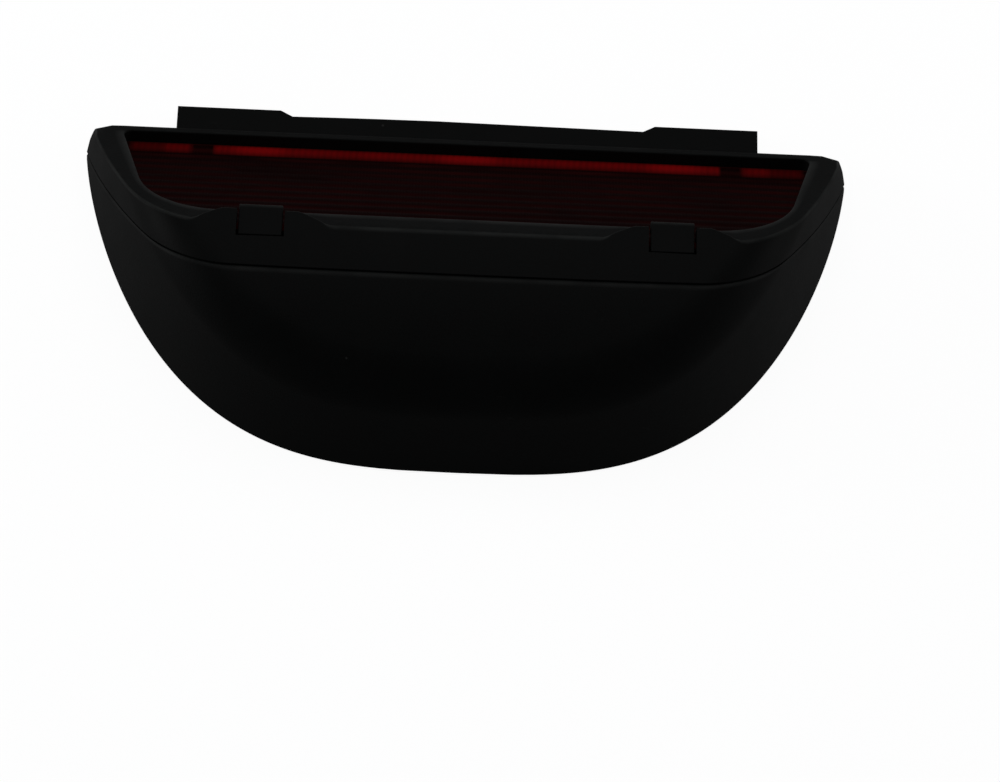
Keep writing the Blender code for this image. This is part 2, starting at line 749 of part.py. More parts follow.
def base_plate():
    rear = RAIL_Y - WALL - FIT
    corner_x = OVERALL_WIDTH / 2 - PLATE_INSET
    join_y = BAR_Y - 2 * PLATE_REAR_CORNER
    corners = [(-corner_x, join_y), (-corner_x, rear), (corner_x, rear), (corner_x, join_y)]
    rear_part = rounded(corners, [0, PLATE_REAR_CORNER, PLATE_REAR_CORNER, 0])
    half_moon = [plan_point(-pi * step / PLATE_STEPS, PLATE_INSET) for step in range(PLATE_STEPS + 1)]
    front_part = [point for point in half_moon if point[1] < join_y - PLATE_JOIN]
    plate = slab("base_plate", front_part + rear_part, PLATE_BOTTOM, PLATE_TOP, PLASTIC)
    edge = OVERALL_DEPTH / 2
    flange = [
        (FLANGE_HALF, BAR_Y - 2 * WALL),
        (FLANGE_HALF, edge),
        (FLANGE_DIP_HALF + FLANGE_RAMP, edge),
    ]
    for step in range(FLANGE_STEPS):
        share = 1 - step / FLANGE_STEPS
        flange.append((FLANGE_DIP_HALF * share, edge - FLANGE_DIP + FLANGE_BOW * (1 - share**2)))
    boolean(plate, slab("plate_flange", mirrored(flange), PLATE_BOTTOM, PLATE_TOP), "UNION")
    boolean(plate, box("cable_slot", (*CABLE_SLOT, HOLE_LENGTH), (0, BACK_Y - CABLE_SLOT_BACK, 0)))
    for number, (x, y) in enumerate(screw_places(), 1):
        hole(plate, f"plate_hole_{number}", SCREW_SHANK + GAP, (x, y, 0))
    for side in (-1, 1):
        hole(plate, f"bolt_hole_{side}", NUT_BORE + FIT, (*nut_place(side), 0))


def shelf_pads():
    """Two pads near the rail and two near the nose."""
    number = 0
    nose_y = PLATE_INSET + PAD_NOSE - OVERALL_DEPTH / 2
    for y, margin in ((BAR_Y - PAD_REAR, PAD_REAR_SIDE), (nose_y, PAD_NOSE_SIDE)):
        x = plan_half_width(y, PLATE_INSET) - margin
        for side in (-1, 1):
            number += 1
            middle = (side * x, y, PAD_HEIGHT / 2)
            cylinder(f"shelf_pad_{number}", PAD_RADIUS, PAD_HEIGHT, middle, look=FOAM)


# ---------------------------------------------------------------- bulbs and sockets


def along_back(x, back=0.0):
    """A frame at a bulb's axis whose +Z points to the lens side, back metres behind the rear bar."""
    return Matrix.Translation((x, BAR_Y - back, BULB_HEIGHT)) @ Matrix.Rotation(-pi / 2, 4, "X")


def bulb(side, end):
    place = along_back(side * BULB_X, HOUSING_BACK)
    tip = HOUSING_BACK - BULB_TIP
    shoulder = tip - BULB_RADIUS
    inside = BULB_RADIUS - GLASS_WALL
    inner_neck = BULB_NECK - GLASS_WALL
    swell = SOCKET_FRONT + GAP
    swell_end = swell + NECK_SWELL
    turns = [pi / 2 * (1 - step / TIP_STEPS) for step in range(TIP_STEPS + 1)]
    outer = [(BULB_RADIUS * cos(a), shoulder + BULB_RADIUS * sin(a)) for a in turns]
    outer += [(BULB_RADIUS, swell_end), (BULB_NECK, swell), (BULB_NECK, -NECK_LENGTH)]
    inner = [(inner_neck, -NECK_LENGTH), (inner_neck, swell), (inside, swell_end)]
    inner += [(inside * cos(a), shoulder + inside * sin(a)) for a in reversed(turns)]
    turned(f"bulb_glass_{end}", outer + inner, place, GLASS, BULB_SIDES)
    stem = box(f"bulb_stem_{end}", STEM_SIZE, (0, 0, STEM_CENTRE), GLASS, place)
    support_end = FILAMENT_FRONT - FILAMENT_RADIUS - GAP
    support_length = support_end + SUPPORT_ROOT
    for wire in (-1, 1):
        middle = Matrix.Translation((wire * SUPPORT_SPREAD, 0, (support_end - SUPPORT_ROOT) / 2))
        name = f"support_{end}_{wire}"
        support = cylinder(name, SUPPORT_RADIUS, support_length, (0, 0, 0), sides=SUPPORT_SIDES)
        support.matrix_world = place @ middle
        boolean(stem, support, "UNION")
    filament = cylinder(
        f"bulb_filament_{end}", FILAMENT_RADIUS, FILAMENT_LENGTH, (0, 0, 0), "X", TUNGSTEN, FILAMENT_SIDES
    )
    filament.data.transform(Matrix.Translation((0, 0, FILAMENT_FRONT)))
    filament.matrix_world = place


def bulb_socket(side, end):
    """A quarter-turn socket. Its origin is on its own axis, at the lamp housing's back wall."""
    place = along_back(side * BULB_X, HOUSING_BACK)
    flange_front = -2 * SEAL_RADIUS - 2 * GAP
    flange_back = flange_front - SOCKET_RIM
    profile = [
        (0, -SOCKET_BORE_DEPTH),
        (SOCKET_BORE, -SOCKET_BORE_DEPTH),
        (SOCKET_BORE, SOCKET_FRONT),
        (BARREL_RADIUS, SOCKET_FRONT),
        (BARREL_RADIUS, flange_front),
        (SOCKET_FLANGE, flange_front),
        (SOCKET_FLANGE, flange_back),
        (SOCKET_GRIP, flange_back),
        (SOCKET_GRIP - SOCKET_STEP, -SOCKET_LENGTH),
        (BOOT_RADIUS, -SOCKET_LENGTH),
        (BOOT_RADIUS - BOOT_TAPER, -BOOT_END),
        (0, -BOOT_END),
    ]
    socket = turned(f"bulb_socket_{end}", profile, place, NATURAL)
    lug_start = SOCKET_BORE + FIT
    lug_end = BARREL_RADIUS + LUG_REACH
    lug_size = (LUG_WIDTH, lug_end - lug_start, LUG_THICKNESS)
    lug_centre = (0, (lug_end + lug_start) / 2, HOUSING_WALL + GAP + LUG_THICKNESS / 2)
    for turn in range(LUG_COUNT):
        spin = Matrix.Rotation(2 * pi * turn / LUG_COUNT + pi, 4, "Z")
        boolean(socket, box(f"lug_{end}_{turn}", lug_size, lug_centre, place=place @ spin), "UNION")
    wing = box(f"wing_{end}", WING_SIZE, (0, 0, WING_CENTRE), place=place)
    boolean(socket, wing, "UNION")
    seal_middle = -SEAL_RADIUS - GAP
    seal_ring = BARREL_RADIUS + SEAL_RADIUS + GAP + FIT
    section = []
    for step in range(SEAL_STEPS + 1):
        angle = 2 * pi * step / SEAL_STEPS
        section.append((seal_ring + SEAL_RADIUS * sin(angle), seal_middle + SEAL_RADIUS * cos(angle)))
    turned(f"socket_seal_{end}", section, place, RUBBER, BULB_SIDES)
    for number, wire in ((1, -1), (2, 1)):
        centre = (wire * CONTACT_SPREAD, 0, CONTACT_CENTRE)
        box(f"socket_contact_{end}_{number}", CONTACT_SIZE, centre, BRASS, place)


# ---------------------------------------------------------------- connector and leads


def connector():
    width, length, height = CONNECTOR_SIZE
    mouth_y = BAR_Y - CONNECTOR_BACK - length
    low = PLATE_TOP + GAP
    middle = low + height / 2
    body = box("connector_housing", CONNECTOR_SIZE, (0, mouth_y + length / 2, middle), DARK_PLASTIC)
    cavity = (width - 2 * CONNECTOR_WALL, 2 * CONNECTOR_CAVITY, height - 2 * CONNECTOR_WALL)
    boolean(body, box("connector_cavity", cavity, (0, mouth_y, middle)))
    pin_y = mouth_y + PIN_RECESS + PIN_SIZE[1] / 2
    for number, side in ((1, -1), (2, 1)):
        box(f"connector_pin_{number}", PIN_SIZE, (side * PIN_SPACING / 2, pin_y, middle), BRASS)
    lock_back = mouth_y + LOCK_SIZE[1] - LOCK_OVERHANG
    hinge = Matrix.Translation((0, lock_back, low + height + GAP))
    box("connector_lock", LOCK_SIZE, (0, -LOCK_SIZE[1] / 2, LOCK_SIZE[2] / 2), NATURAL, hinge)


def leads():
    """Each lead runs from its socket's boot round to the connector's side."""
    start_y = BAR_Y - HOUSING_BACK - BOOT_END
    connector_half = CONNECTOR_SIZE[0] / 2
    entry_y = BAR_Y - CONNECTOR_BACK - LEAD_ENTRY
    entry_z = PLATE_TOP + GAP + CONNECTOR_SIZE[2] / 2
    for side, end in ((-1, "left"), (1, "right")):
        route = [
            (side * BULB_X, start_y - GAP, BULB_HEIGHT),
            *[(side * (BULB_X - x), start_y - back, BULB_HEIGHT - drop) for x, back, drop in LEAD_BENDS],
            (side * (BULB_X - LEAD_LOW_IN), start_y - LEAD_LOW_BACK, entry_z + LEAD_LOW_RISE),
            (side * (BULB_X - LEAD_LEVEL_IN), entry_y - LEAD_LEVEL_BACK, entry_z),
            (side * (connector_half + GROMMET_LENGTH + LEAD_STRAIGHT), entry_y, entry_z),
            (side * (connector_half + GAP), entry_y, entry_z),
        ]
        tube(f"lead_{end}", route, LEAD_RADIUS, RUBBER)
        middle = (side * (connector_half + GAP + GROMMET_LENGTH / 2), entry_y, entry_z)
        name = f"lead_grommet_{end}"
        grommet = cylinder(name, GROMMET_RADIUS, GROMMET_LENGTH, middle, "X", RUBBER, SMALL_SIDES)
        hole(grommet, f"grommet_bore_{end}", LEAD_RADIUS + GAP, middle, "X")


# ---------------------------------------------------------------- small parts


def housing_screws():
    head_low = HOUSING_FLOOR + HOUSING_WALL + GAP
    head_top = head_low + SCREW_HEAD_HEIGHT
    shank_low = PAD_HEIGHT / 2
    profile = [
        (0, head_top),
        (SCREW_HEAD - SCREW_HEAD_CHAMFER, head_top),
        (SCREW_HEAD, head_top - SCREW_HEAD_CHAMFER),
        (SCREW_HEAD, head_low),
        (SCREW_SHANK, head_low),
        (SCREW_SHANK, shank_low + SCREW_SHANK),
        (0, shank_low),
    ]
    for number, (x, y) in enumerate(screw_places(), 1):
        turned(f"housing_screw_{number}", profile, Matrix.Translation((x, y, 0)), STEEL, SMALL_SIDES)


def spring_nuts():
    low = PLATE_TOP + GAP
    top = low + NUT_SIZE[2] + NUT_COLLAR_HEIGHT
    collar_low = low + GAP
    for side, end in ((-1, "left"), (1, "right")):
        x, y = nut_place(side)
        nut = box(f"spring_nut_{end}", NUT_SIZE, (x, y, low + NUT_SIZE[2] / 2), STEEL)
        collar = cylinder(f"nut_collar_{end}", NUT_COLLAR, top - collar_low, (x, y, (top + collar_low) / 2))
        boolean(nut, collar, "UNION")
        hole(nut, f"nut_bore_{end}", NUT_BORE, (x, y, low))


def cover_clips():
    """Two bent spring strips on the plate that grip the cover's side walls."""
    bulge = CLIP_FOOT + CLIP_BULGE
    top = CLIP_FOOT - CLIP_TOP_STEP
    waist = CLIP_HEIGHT * CLIP_WAIST
    strip = [
        (0, 0),
        (CLIP_FOOT, 0),
        (bulge, waist),
        (top, CLIP_HEIGHT),
        (top - CLIP_STRIP, CLIP_HEIGHT - CLIP_STRIP / 2),
        (bulge - CLIP_STRIP, waist),
        (CLIP_FOOT - CLIP_STRIP, CLIP_STRIP),
        (0, CLIP_STRIP),
    ]
    y = BAR_Y - CLIP_BACK
    x = plan_half_width(y, PLATE_INSET) - CLIP_MARGIN
    for side, end in ((-1, "left"), (1, "right")):
        turn = Matrix(((side, 0, 0, 0), (0, 0, side, 0), (0, 1, 0, 0), (0, 0, 0, 1)))
        corner = Matrix.Translation((side * x, y, PLATE_TOP + GAP))
        slab(f"cover_clip_{end}", strip, -CLIP_WIDTH / 2, CLIP_WIDTH / 2, STEEL, corner @ turn)


def heat_shield():
    """A bent bright strip between the bulbs and the housing's top."""
    front = BAR_Y - SHIELD_BACK
    bend = front - SHIELD_LIP
    tail = front - SHIELD_LENGTH
    top = TOP_HEIGHT - SHIELD_UNDER_TOP
    upper = [(front, top - SHIELD_LIP_DROP), (bend, top), (tail, top - SHIELD_TAIL_DROP)]
    lower = [(y, z - SHIELD_STRIP) for y, z in reversed(upper)]
    side_slab("heat_shield", upper + lower, -SHIELD_HALF, SHIELD_HALF, BRIGHT)


def vent_cap():
    place = Matrix.Translation((0, BACK_Y - GAP, VENT_HEIGHT)) @ Matrix.Rotation(pi / 2, 4, "X")
    profile = [
        (0, VENT_LENGTH),
        (VENT_RADIUS - VENT_CHAMFER, VENT_LENGTH),
        (VENT_RADIUS, VENT_LENGTH - VENT_CHAMFER),
        (VENT_RADIUS, 0),
        (0, 0),
    ]
    turned("vent_cap", profile, place, RUBBER, SMALL_SIDES)


def build():
    above_mouth = mouth_box("above_mouth", -LARGE, 0)
    inner = dome("inner_dome", WALL, -WALL * 2)
    boolean(inner, rear_trim("inner_trim", WALL), "INTERSECT")
    boolean(inner, mouth_box("inner_rim_cut", -LARGE, RIM_THICKNESS))
    front_bezel(above_mouth, inner)
    rear_cover(inner)
    for side, end in ((-1, "left"), (1, "right")):
        latch_tongue(side, f"latch_tongue_{end}")
        bulb(side, end)
        bulb_socket(side, end)
    lens()
    lens_gasket()
    lamp_housing()
    reflectors()
    base_plate()
    shelf_pads()
    connector()
    leads()
    housing_screws()
    spring_nuts()
    cover_clips()
    heat_shield()
    vent_cap()


build()
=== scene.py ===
"""Third brake light, visual model: fine shells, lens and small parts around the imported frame.

Metres, +Z up, X across the car, +Y to the rear glass and -Y to the cabin, as in the frame.
"""

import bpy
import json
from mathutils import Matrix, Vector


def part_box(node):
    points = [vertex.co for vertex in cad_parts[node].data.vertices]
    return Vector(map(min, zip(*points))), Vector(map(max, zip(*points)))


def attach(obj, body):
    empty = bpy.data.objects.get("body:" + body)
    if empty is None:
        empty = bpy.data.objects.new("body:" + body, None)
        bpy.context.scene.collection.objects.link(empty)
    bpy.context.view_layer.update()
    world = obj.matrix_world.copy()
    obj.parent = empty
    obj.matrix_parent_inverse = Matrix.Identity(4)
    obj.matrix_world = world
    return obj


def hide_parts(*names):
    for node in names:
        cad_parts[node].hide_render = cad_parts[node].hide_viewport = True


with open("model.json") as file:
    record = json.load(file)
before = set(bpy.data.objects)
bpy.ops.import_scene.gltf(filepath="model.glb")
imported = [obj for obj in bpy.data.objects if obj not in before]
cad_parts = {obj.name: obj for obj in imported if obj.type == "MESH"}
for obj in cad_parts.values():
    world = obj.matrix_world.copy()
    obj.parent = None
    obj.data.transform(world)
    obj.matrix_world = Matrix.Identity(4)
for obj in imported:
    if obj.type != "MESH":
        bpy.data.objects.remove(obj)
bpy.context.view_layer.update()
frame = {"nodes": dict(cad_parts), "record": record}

import json
from math import atan2, ceil, cos, pi, radians, sin, tan

import bmesh
import bpy
import numpy as np
from bpy.props import FloatProperty, FloatVectorProperty, IntProperty, PointerProperty
from mathutils import Matrix, Vector

bl_info = {
    "name": "Third Brake Light",
    "version": (1, 0, 0),
    "blender": (4, 5, 0),
    "location": "View3D > Sidebar > Brake Light",
    "description": "Builds the visual model of a parcel-shelf third brake light",
    "category": "Object",
}

# Places read from the frame
RAIL_LIP = 0.0014
RAIL_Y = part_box("front_bezel")[1].y
BAR_Y = RAIL_Y - RAIL_LIP
NOSE_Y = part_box("rear_cover")[0].y
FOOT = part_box("rear_cover")[0].z
PLATE_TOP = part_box("base_plate")[1].z
TONGUE_LOW, TONGUE_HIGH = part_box("latch_tongue_right")

# Form of the housing
HALF_WIDTH = 0.1375
TOP_HEIGHT = 0.0467
CROWN = 0.0016
WALL = 0.0025
DRAFT = radians(16)
EDGE_RADIUS = 0.018
SIDE_POWER = 3.1
END_POWER = 1.48
DOME_Y = BAR_Y - 0.003
DOME_REACH = DOME_Y - NOSE_Y
DOME_REAR_REACH = 0.0725
REAR_ROUND = 0.0125
TRIM_FIT = 0.0006
NOSE_DROP = 0.45
NOSE_START = BAR_Y - 0.060
NOSE_RUN = NOSE_START - NOSE_Y
ARC_FOOT = TOP_HEIGHT - EDGE_RADIUS + EDGE_RADIUS * sin(DRAFT)
ARC_CENTRE = ARC_FOOT * tan(DRAFT) + EDGE_RADIUS * cos(DRAFT)
ARCH_RISE = 3.4
NOSE_SPACING = 1.35

# Search for the skin: the farthest reach, and how often each search halves its range
FAR = 0.3
SKIN_HALVINGS = 34
FOOT_HALVINGS = 20
NOSE_HALVINGS = 40

# Slanted mouth
SLANT = radians(32)
BAR_HEIGHT = 0.009
BEZEL_DEPTH = 0.0102
SEAM_GAP = 0.0005
RIM_THICKNESS = 0.0022
TUNNEL_WALL = 0.0016
LENS_RECESS = 0.0045
LENS_THICKNESS = 0.0025
LENS_SEAT = LENS_RECESS - 0.00005
OPENING_LOW = 0.0022
OPENING_TOP = 0.063
OPENING_LOW_HALF = 0.124
OPENING_TOP_HALF = 0.1105
OPENING_CORNER = 0.030
OPENING_LOW_CORNER = 0.003

# Lands and tongues
TONGUE_X = (TONGUE_LOW.x + TONGUE_HIGH.x) / 2
TONGUE_WIDTH = TONGUE_HIGH.x - TONGUE_LOW.x
TONGUE_SLIT = 0.0007
LAND_REACH = 0.0054
LAND_RAMP = 0.0125
LAND_SHOULDER = 0.0055
LAND_STRAIGHT = 0.65
TONGUE_THICKNESS = 0.0019
FLANGE_HALF = 0.1043

# Lens: its reach past the opening, and the bulge and beads of the strip along its low edge
LENS_MARGIN = 0.0012
LENS_TRIM = 0.0002
STRIP_EDGE = 0.0004
STRIP_SINK = 0.0002
STRIP_BULGE = 0.0006
BEAD_HEIGHT = 0.00018

# Painted glow in the lens's low edge, for light that comes through it: up the slope and across
STRIP_CENTRE = 0.0061
STRIP_REACH = 0.0046
STRIP_GAP = (0.0915, 0.0993)
STRIP_END = 0.1085
STRIP_LAST = 0.1205
STRIP_BLUR = 0.0012
STRIP_SPOTS = 0.0745

# Where the camera aims: behind the bar, above the shelf, then shifted in its own view
AIM_BACK = 0.0631
AIM_HEIGHT = 0.020
AIM_RIGHT = 0.0127
AIM_DOWN = 0.0403


# ---------------------------------------------------------------- settings


class HousingSettings(bpy.types.PropertyGroup):
    rim_round: FloatProperty(
        name="Rim rounding",
        description="Round of the mouth's outer edge",
        default=0.0009,
        unit="LENGTH",
    )
    opening_round: FloatProperty(
        name="Opening rounding",
        description="Round of the opening's edge",
        default=0.0005,
        unit="LENGTH",
    )
    seam_round: FloatProperty(
        name="Seam rounding",
        description="Round of both edges of the seam",
        default=0.0003,
        unit="LENGTH",
    )
    column_spacing: FloatProperty(
        name="Column spacing",
        description="Distance between columns of the bezel",
        default=0.0014,
        unit="LENGTH",
    )
    cover_rows: IntProperty(
        name="Cover rows", description="Rows from the seam to the nose", default=110
    )
    cover_columns: IntProperty(
        name="Cover columns", description="Columns from foot to foot", default=200
    )
    colour: FloatVectorProperty(
        name="Plastic colour",
        description="Moulded black",
        default=(0.0030, 0.0033, 0.0031),
        subtype="COLOR",
    )
    dust_colour: FloatVectorProperty(
        name="Dust colour",
        description="Fine dust on the plastic",
        default=(0.09, 0.088, 0.078),
        subtype="COLOR",
    )


class LensSettings(bpy.types.PropertyGroup):
    flute_pitch: FloatProperty(
        name="Flute pitch",
        description="Distance between the lens flutes",
        default=0.0047,
        unit="LENGTH",
    )
    flute_depth: FloatProperty(
        name="Flute depth", description="Height of the lens flutes", default=0.00028, unit="LENGTH"
    )
    strip_width: FloatProperty(
        name="Edge strip",
        description="Width of the bright strip along the low edge",
        default=0.0065,
        unit="LENGTH",
    )
    bead_pitch: FloatProperty(
        name="Bead pitch",
        description="Distance between the strip's beads",
        default=0.0023,
        unit="LENGTH",
    )
    rib_pitch: FloatProperty(
        name="Rib pitch",
        description="Distance between the fine ribs across the flutes",
        default=0.0011,
        unit="LENGTH",
    )
    colour: FloatVectorProperty(
        name="Lens colour",
        description="Dark red of the lens",
        default=(0.0065, 0.0009, 0.0009),
        subtype="COLOR",
    )
    # Painted glow: emission colour of the strip, standing in for light coming through the lens's low edge
    painted_strip_glow: FloatVectorProperty(
        name="Strip colour",
        description="Bright red of the edge strip",
        default=(0.088, 0.0009, 0.0012),
        subtype="COLOR",
    )


class StageSettings(bpy.types.PropertyGroup):
    elevation: FloatProperty(
        name="Elevation",
        description="Camera's angle above the floor",
        default=radians(60.46),
        subtype="ANGLE",
    )
    turn: FloatProperty(
        name="Turn", description="Camera's turn about Z", default=radians(2.93), subtype="ANGLE"
    )
    roll: FloatProperty(
        name="Roll", description="Camera's roll", default=radians(4.96), subtype="ANGLE"
    )
    distance: FloatProperty(
        name="Distance", description="Camera to the aim point", default=1.581, unit="LENGTH"
    )
    lens: FloatProperty(name="Lens", description="Focal length in millimetres", default=162.0)
    floor_glow: FloatProperty(
        name="Floor glow", description="How bright the pale floor looks", default=0.93
    )
    floor_bounce: FloatProperty(
        name="Floor bounce", description="Light that the floor throws back", default=0.14
    )
    sky: FloatProperty(name="Sky", description="Strength of the even light from above", default=0.075)


# ---------------------------------------------------------------- form of the housing


def height_share(y):
    """How much of the full height is left where the top runs down to the cabin."""
    return 1 - NOSE_DROP * np.clip((NOSE_START - y) / NOSE_RUN, 0.0, 1.0) ** 2


def plan_value(x, y, inset):
    """Below zero inside the half-moon footprint moved in by inset."""
    reach = np.where(y < DOME_Y, DOME_REACH, DOME_REAR_REACH)
    across = np.abs(x) / (HALF_WIDTH - inset)
    along = np.abs(y - DOME_Y) / (reach - inset)
    return across**SIDE_POWER + along**END_POWER - 1


def outside(points, depth):
    """Above zero outside the housing's skin moved in by depth."""
    x, y, z = np.moveaxis(points, -1, 0)
    share = height_share(y)
    ring = plan_value(x, y, ARC_CENTRE)
    top = TOP_HEIGHT * share + CROWN * np.maximum(-ring, 0) - depth
    sine = (z - (TOP_HEIGHT - EDGE_RADIUS) * share) / (EDGE_RADIUS * share - depth)
    slope = np.arcsin(np.clip(sine, sin(DRAFT), 1))
    arc_inset = ARC_CENTRE - (EDGE_RADIUS - depth) * np.cos(slope)
    wall_inset = depth * cos(DRAFT) + tan(DRAFT) * np.maximum(z, 0) / share
    side = plan_value(x, y, np.where(sine < sin(DRAFT), wall_inset, arc_inset))
    value = np.where(sine > 1, np.maximum(ring, (z - top) / TOP_HEIGHT), side)
    corner = REAR_ROUND - depth
    across = np.maximum(np.abs(x) - (HALF_WIDTH + TRIM_FIT - depth - corner), 0)
    back = np.maximum(y - (RAIL_Y - depth - corner), 0)
    return np.maximum(value, np.hypot(across, back) - corner)


def skin_distance(start, direction, depth=0.0):
    """How far each ray runs before it meets the skin moved in by depth."""
    low = np.zeros(start.shape[:-1])
    high = np.full(start.shape[:-1], FAR)
    for _ in range(SKIN_HALVINGS):
        middle = (low + high) / 2
        beyond = outside(start + middle[..., None] * direction, depth) > 0
        high = np.where(beyond, middle, high)
        low = np.where(beyond, low, middle)
    return (low + high) / 2


def mouth_point(x, up, depth):
    """A point of the slanted mouth's frame: across, up the slope, and behind the mouth's face."""
    x, up, depth = np.broadcast_arrays(x, up, depth)
    y = BAR_Y - up * cos(SLANT) - depth * sin(SLANT)
    z = BAR_HEIGHT + up * sin(SLANT) - depth * cos(SLANT)
    return np.stack([x, y, z], -1)


def rounded_path(corners, radii, spacing):
    """Points and outward normals along a closed outline with round corners."""
    points, normals = [], []
    count = len(corners)
    arcs = []
    for index in range(count):
        before, here, after = (Vector(corners[(index + k) % count]) for k in (-1, 0, 1))
        arrive = (here - before).normalized()
        leave = (after - here).normalized()
        turn = arrive.angle(leave)
        cut = radii[index] * tan(turn / 2)
        normal = Vector((arrive.y, -arrive.x))
        start = here - arrive * cut
        arcs.append((start, here + leave * cut, start - normal * radii[index], normal, turn))
    for index in range(count):
        start, end, centre, normal, turn = arcs[index]
        steps = max(4, ceil(radii[index] * turn / spacing))
        for step in range(steps):
            direction = Matrix.Rotation(turn * step / steps, 2) @ normal
            points.append(centre + direction * radii[index])
            normals.append(direction)
        following = arcs[(index + 1) % count]
        run = following[0] - end
        steps = ceil(run.length / spacing)
        for step in range(steps):
            points.append(end + run * step / steps)
            normals.append(following[3])
    return np.array(points), np.array(normals)


def opening_path(grow, spacing):
    low = (OPENING_LOW_HALF + grow, OPENING_LOW - grow)
    high = (OPENING_TOP_HALF + grow, OPENING_TOP + grow)
    corners = [low, high, (-high[0], high[1]), (-low[0], low[1])]
    radii = [OPENING_LOW_CORNER + grow, OPENING_CORNER + grow]
    return rounded_path(corners, radii + radii[::-1], spacing)


def land_reach(x):
    """How far the raised land stands forward of the mouth's top edge at this place."""
    offset = np.abs(np.abs(x) - TONGUE_X) - TONGUE_WIDTH / 2 - LAND_SHOULDER
    share = np.clip(1 - offset / LAND_RAMP, 0, 1)
    eased = share * share * (3 - 2 * share)
    return LAND_REACH * (LAND_STRAIGHT * share + (1 - LAND_STRAIGHT) * eased)


# ---------------------------------------------------------------- meshes


def new_object(name, vertices, faces, wear_and_sheen=None):
    mesh = bpy.data.meshes.new(name)
    mesh.from_pydata([tuple(v) for v in vertices], [], faces)
    if wear_and_sheen is not None:
        attribute = mesh.attributes.new("wear_and_sheen", "FLOAT", "POINT")
        attribute.data.foreach_set("value", np.asarray(wear_and_sheen, np.float32))
    obj = bpy.data.objects.new(name, mesh)
    bpy.context.scene.collection.objects.link(obj)
    return obj


def tidy_mesh(obj, sharp=radians(35), distance=2e-6):
    """Welds, turns the faces outwards and shades smooth up to the sharp angle."""
    shape = bmesh.new()
    shape.from_mesh(obj.data)
    bmesh.ops.remove_doubles(shape, verts=shape.verts, dist=distance)
    bmesh.ops.dissolve_degenerate(shape, edges=shape.edges, dist=distance)
    bmesh.ops.recalc_face_normals(shape, faces=shape.faces)
    shape.to_mesh(obj.data)
    shape.free()
    obj.data.shade_smooth()
    obj.data.set_sharp_from_angle(angle=sharp)
    return obj


def apply_modifiers(obj):
    graph = bpy.context.evaluated_depsgraph_get()
    mesh = bpy.data.meshes.new_from_object(
        obj.evaluated_get(graph), preserve_all_data_layers=True, depsgraph=graph
    )
    obj.modifiers.clear()
    obj.data = mesh


def cut(obj, cutter):
    change = obj.modifiers.new("Cut", "BOOLEAN")
    change.operation = "DIFFERENCE"
    change.object = cutter
    change.solver = "EXACT"
    bpy.context.view_layer.update()
    apply_modifiers(obj)
    bpy.data.objects.remove(cutter)


def block(name, low, high):
    shape = bmesh.new()
    bmesh.ops.create_cube(shape, size=1)
    size = Vector(high) - Vector(low)
    bmesh.ops.scale(shape, vec=size, verts=shape.verts)
    bmesh.ops.translate(shape, vec=(Vector(high) + Vector(low)) / 2, verts=shape.verts)
    mesh = bpy.data.meshes.new(name)
    shape.to_mesh(mesh)
    shape.free()
    obj = bpy.data.objects.new(name, mesh)
    bpy.context.scene.collection.objects.link(obj)
    return obj


def dress(obj, body, slot, look, *nodes):
    """Gives a piece its finish and its body, and hides the frame nodes that it stands for; slot is not
    used.
    """
    obj.data.materials.clear()
    obj.data.materials.append(look)
    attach(obj, body)
    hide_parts(*nodes)


def grid_faces(rows, columns, close_rows, close_columns):
    faces = []
    for row in range(rows if close_rows else rows - 1):
        for column in range(columns if close_columns else columns - 1):
            a, b = row * columns, ((row + 1) % rows) * columns
            n = (column + 1) % columns
            faces.append((a + column, a + n, b + n, b + column))
    return faces


def bent(start, control, end, steps):
    """Points of a round between two edges, from start to end."""
    made = []
    for step in range(steps + 1):
        t = step / steps
        made.append((1 - t) ** 2 * start + 2 * t * (1 - t) * control + t**2 * end)
    return made


# ---------------------------------------------------------------- front bezel


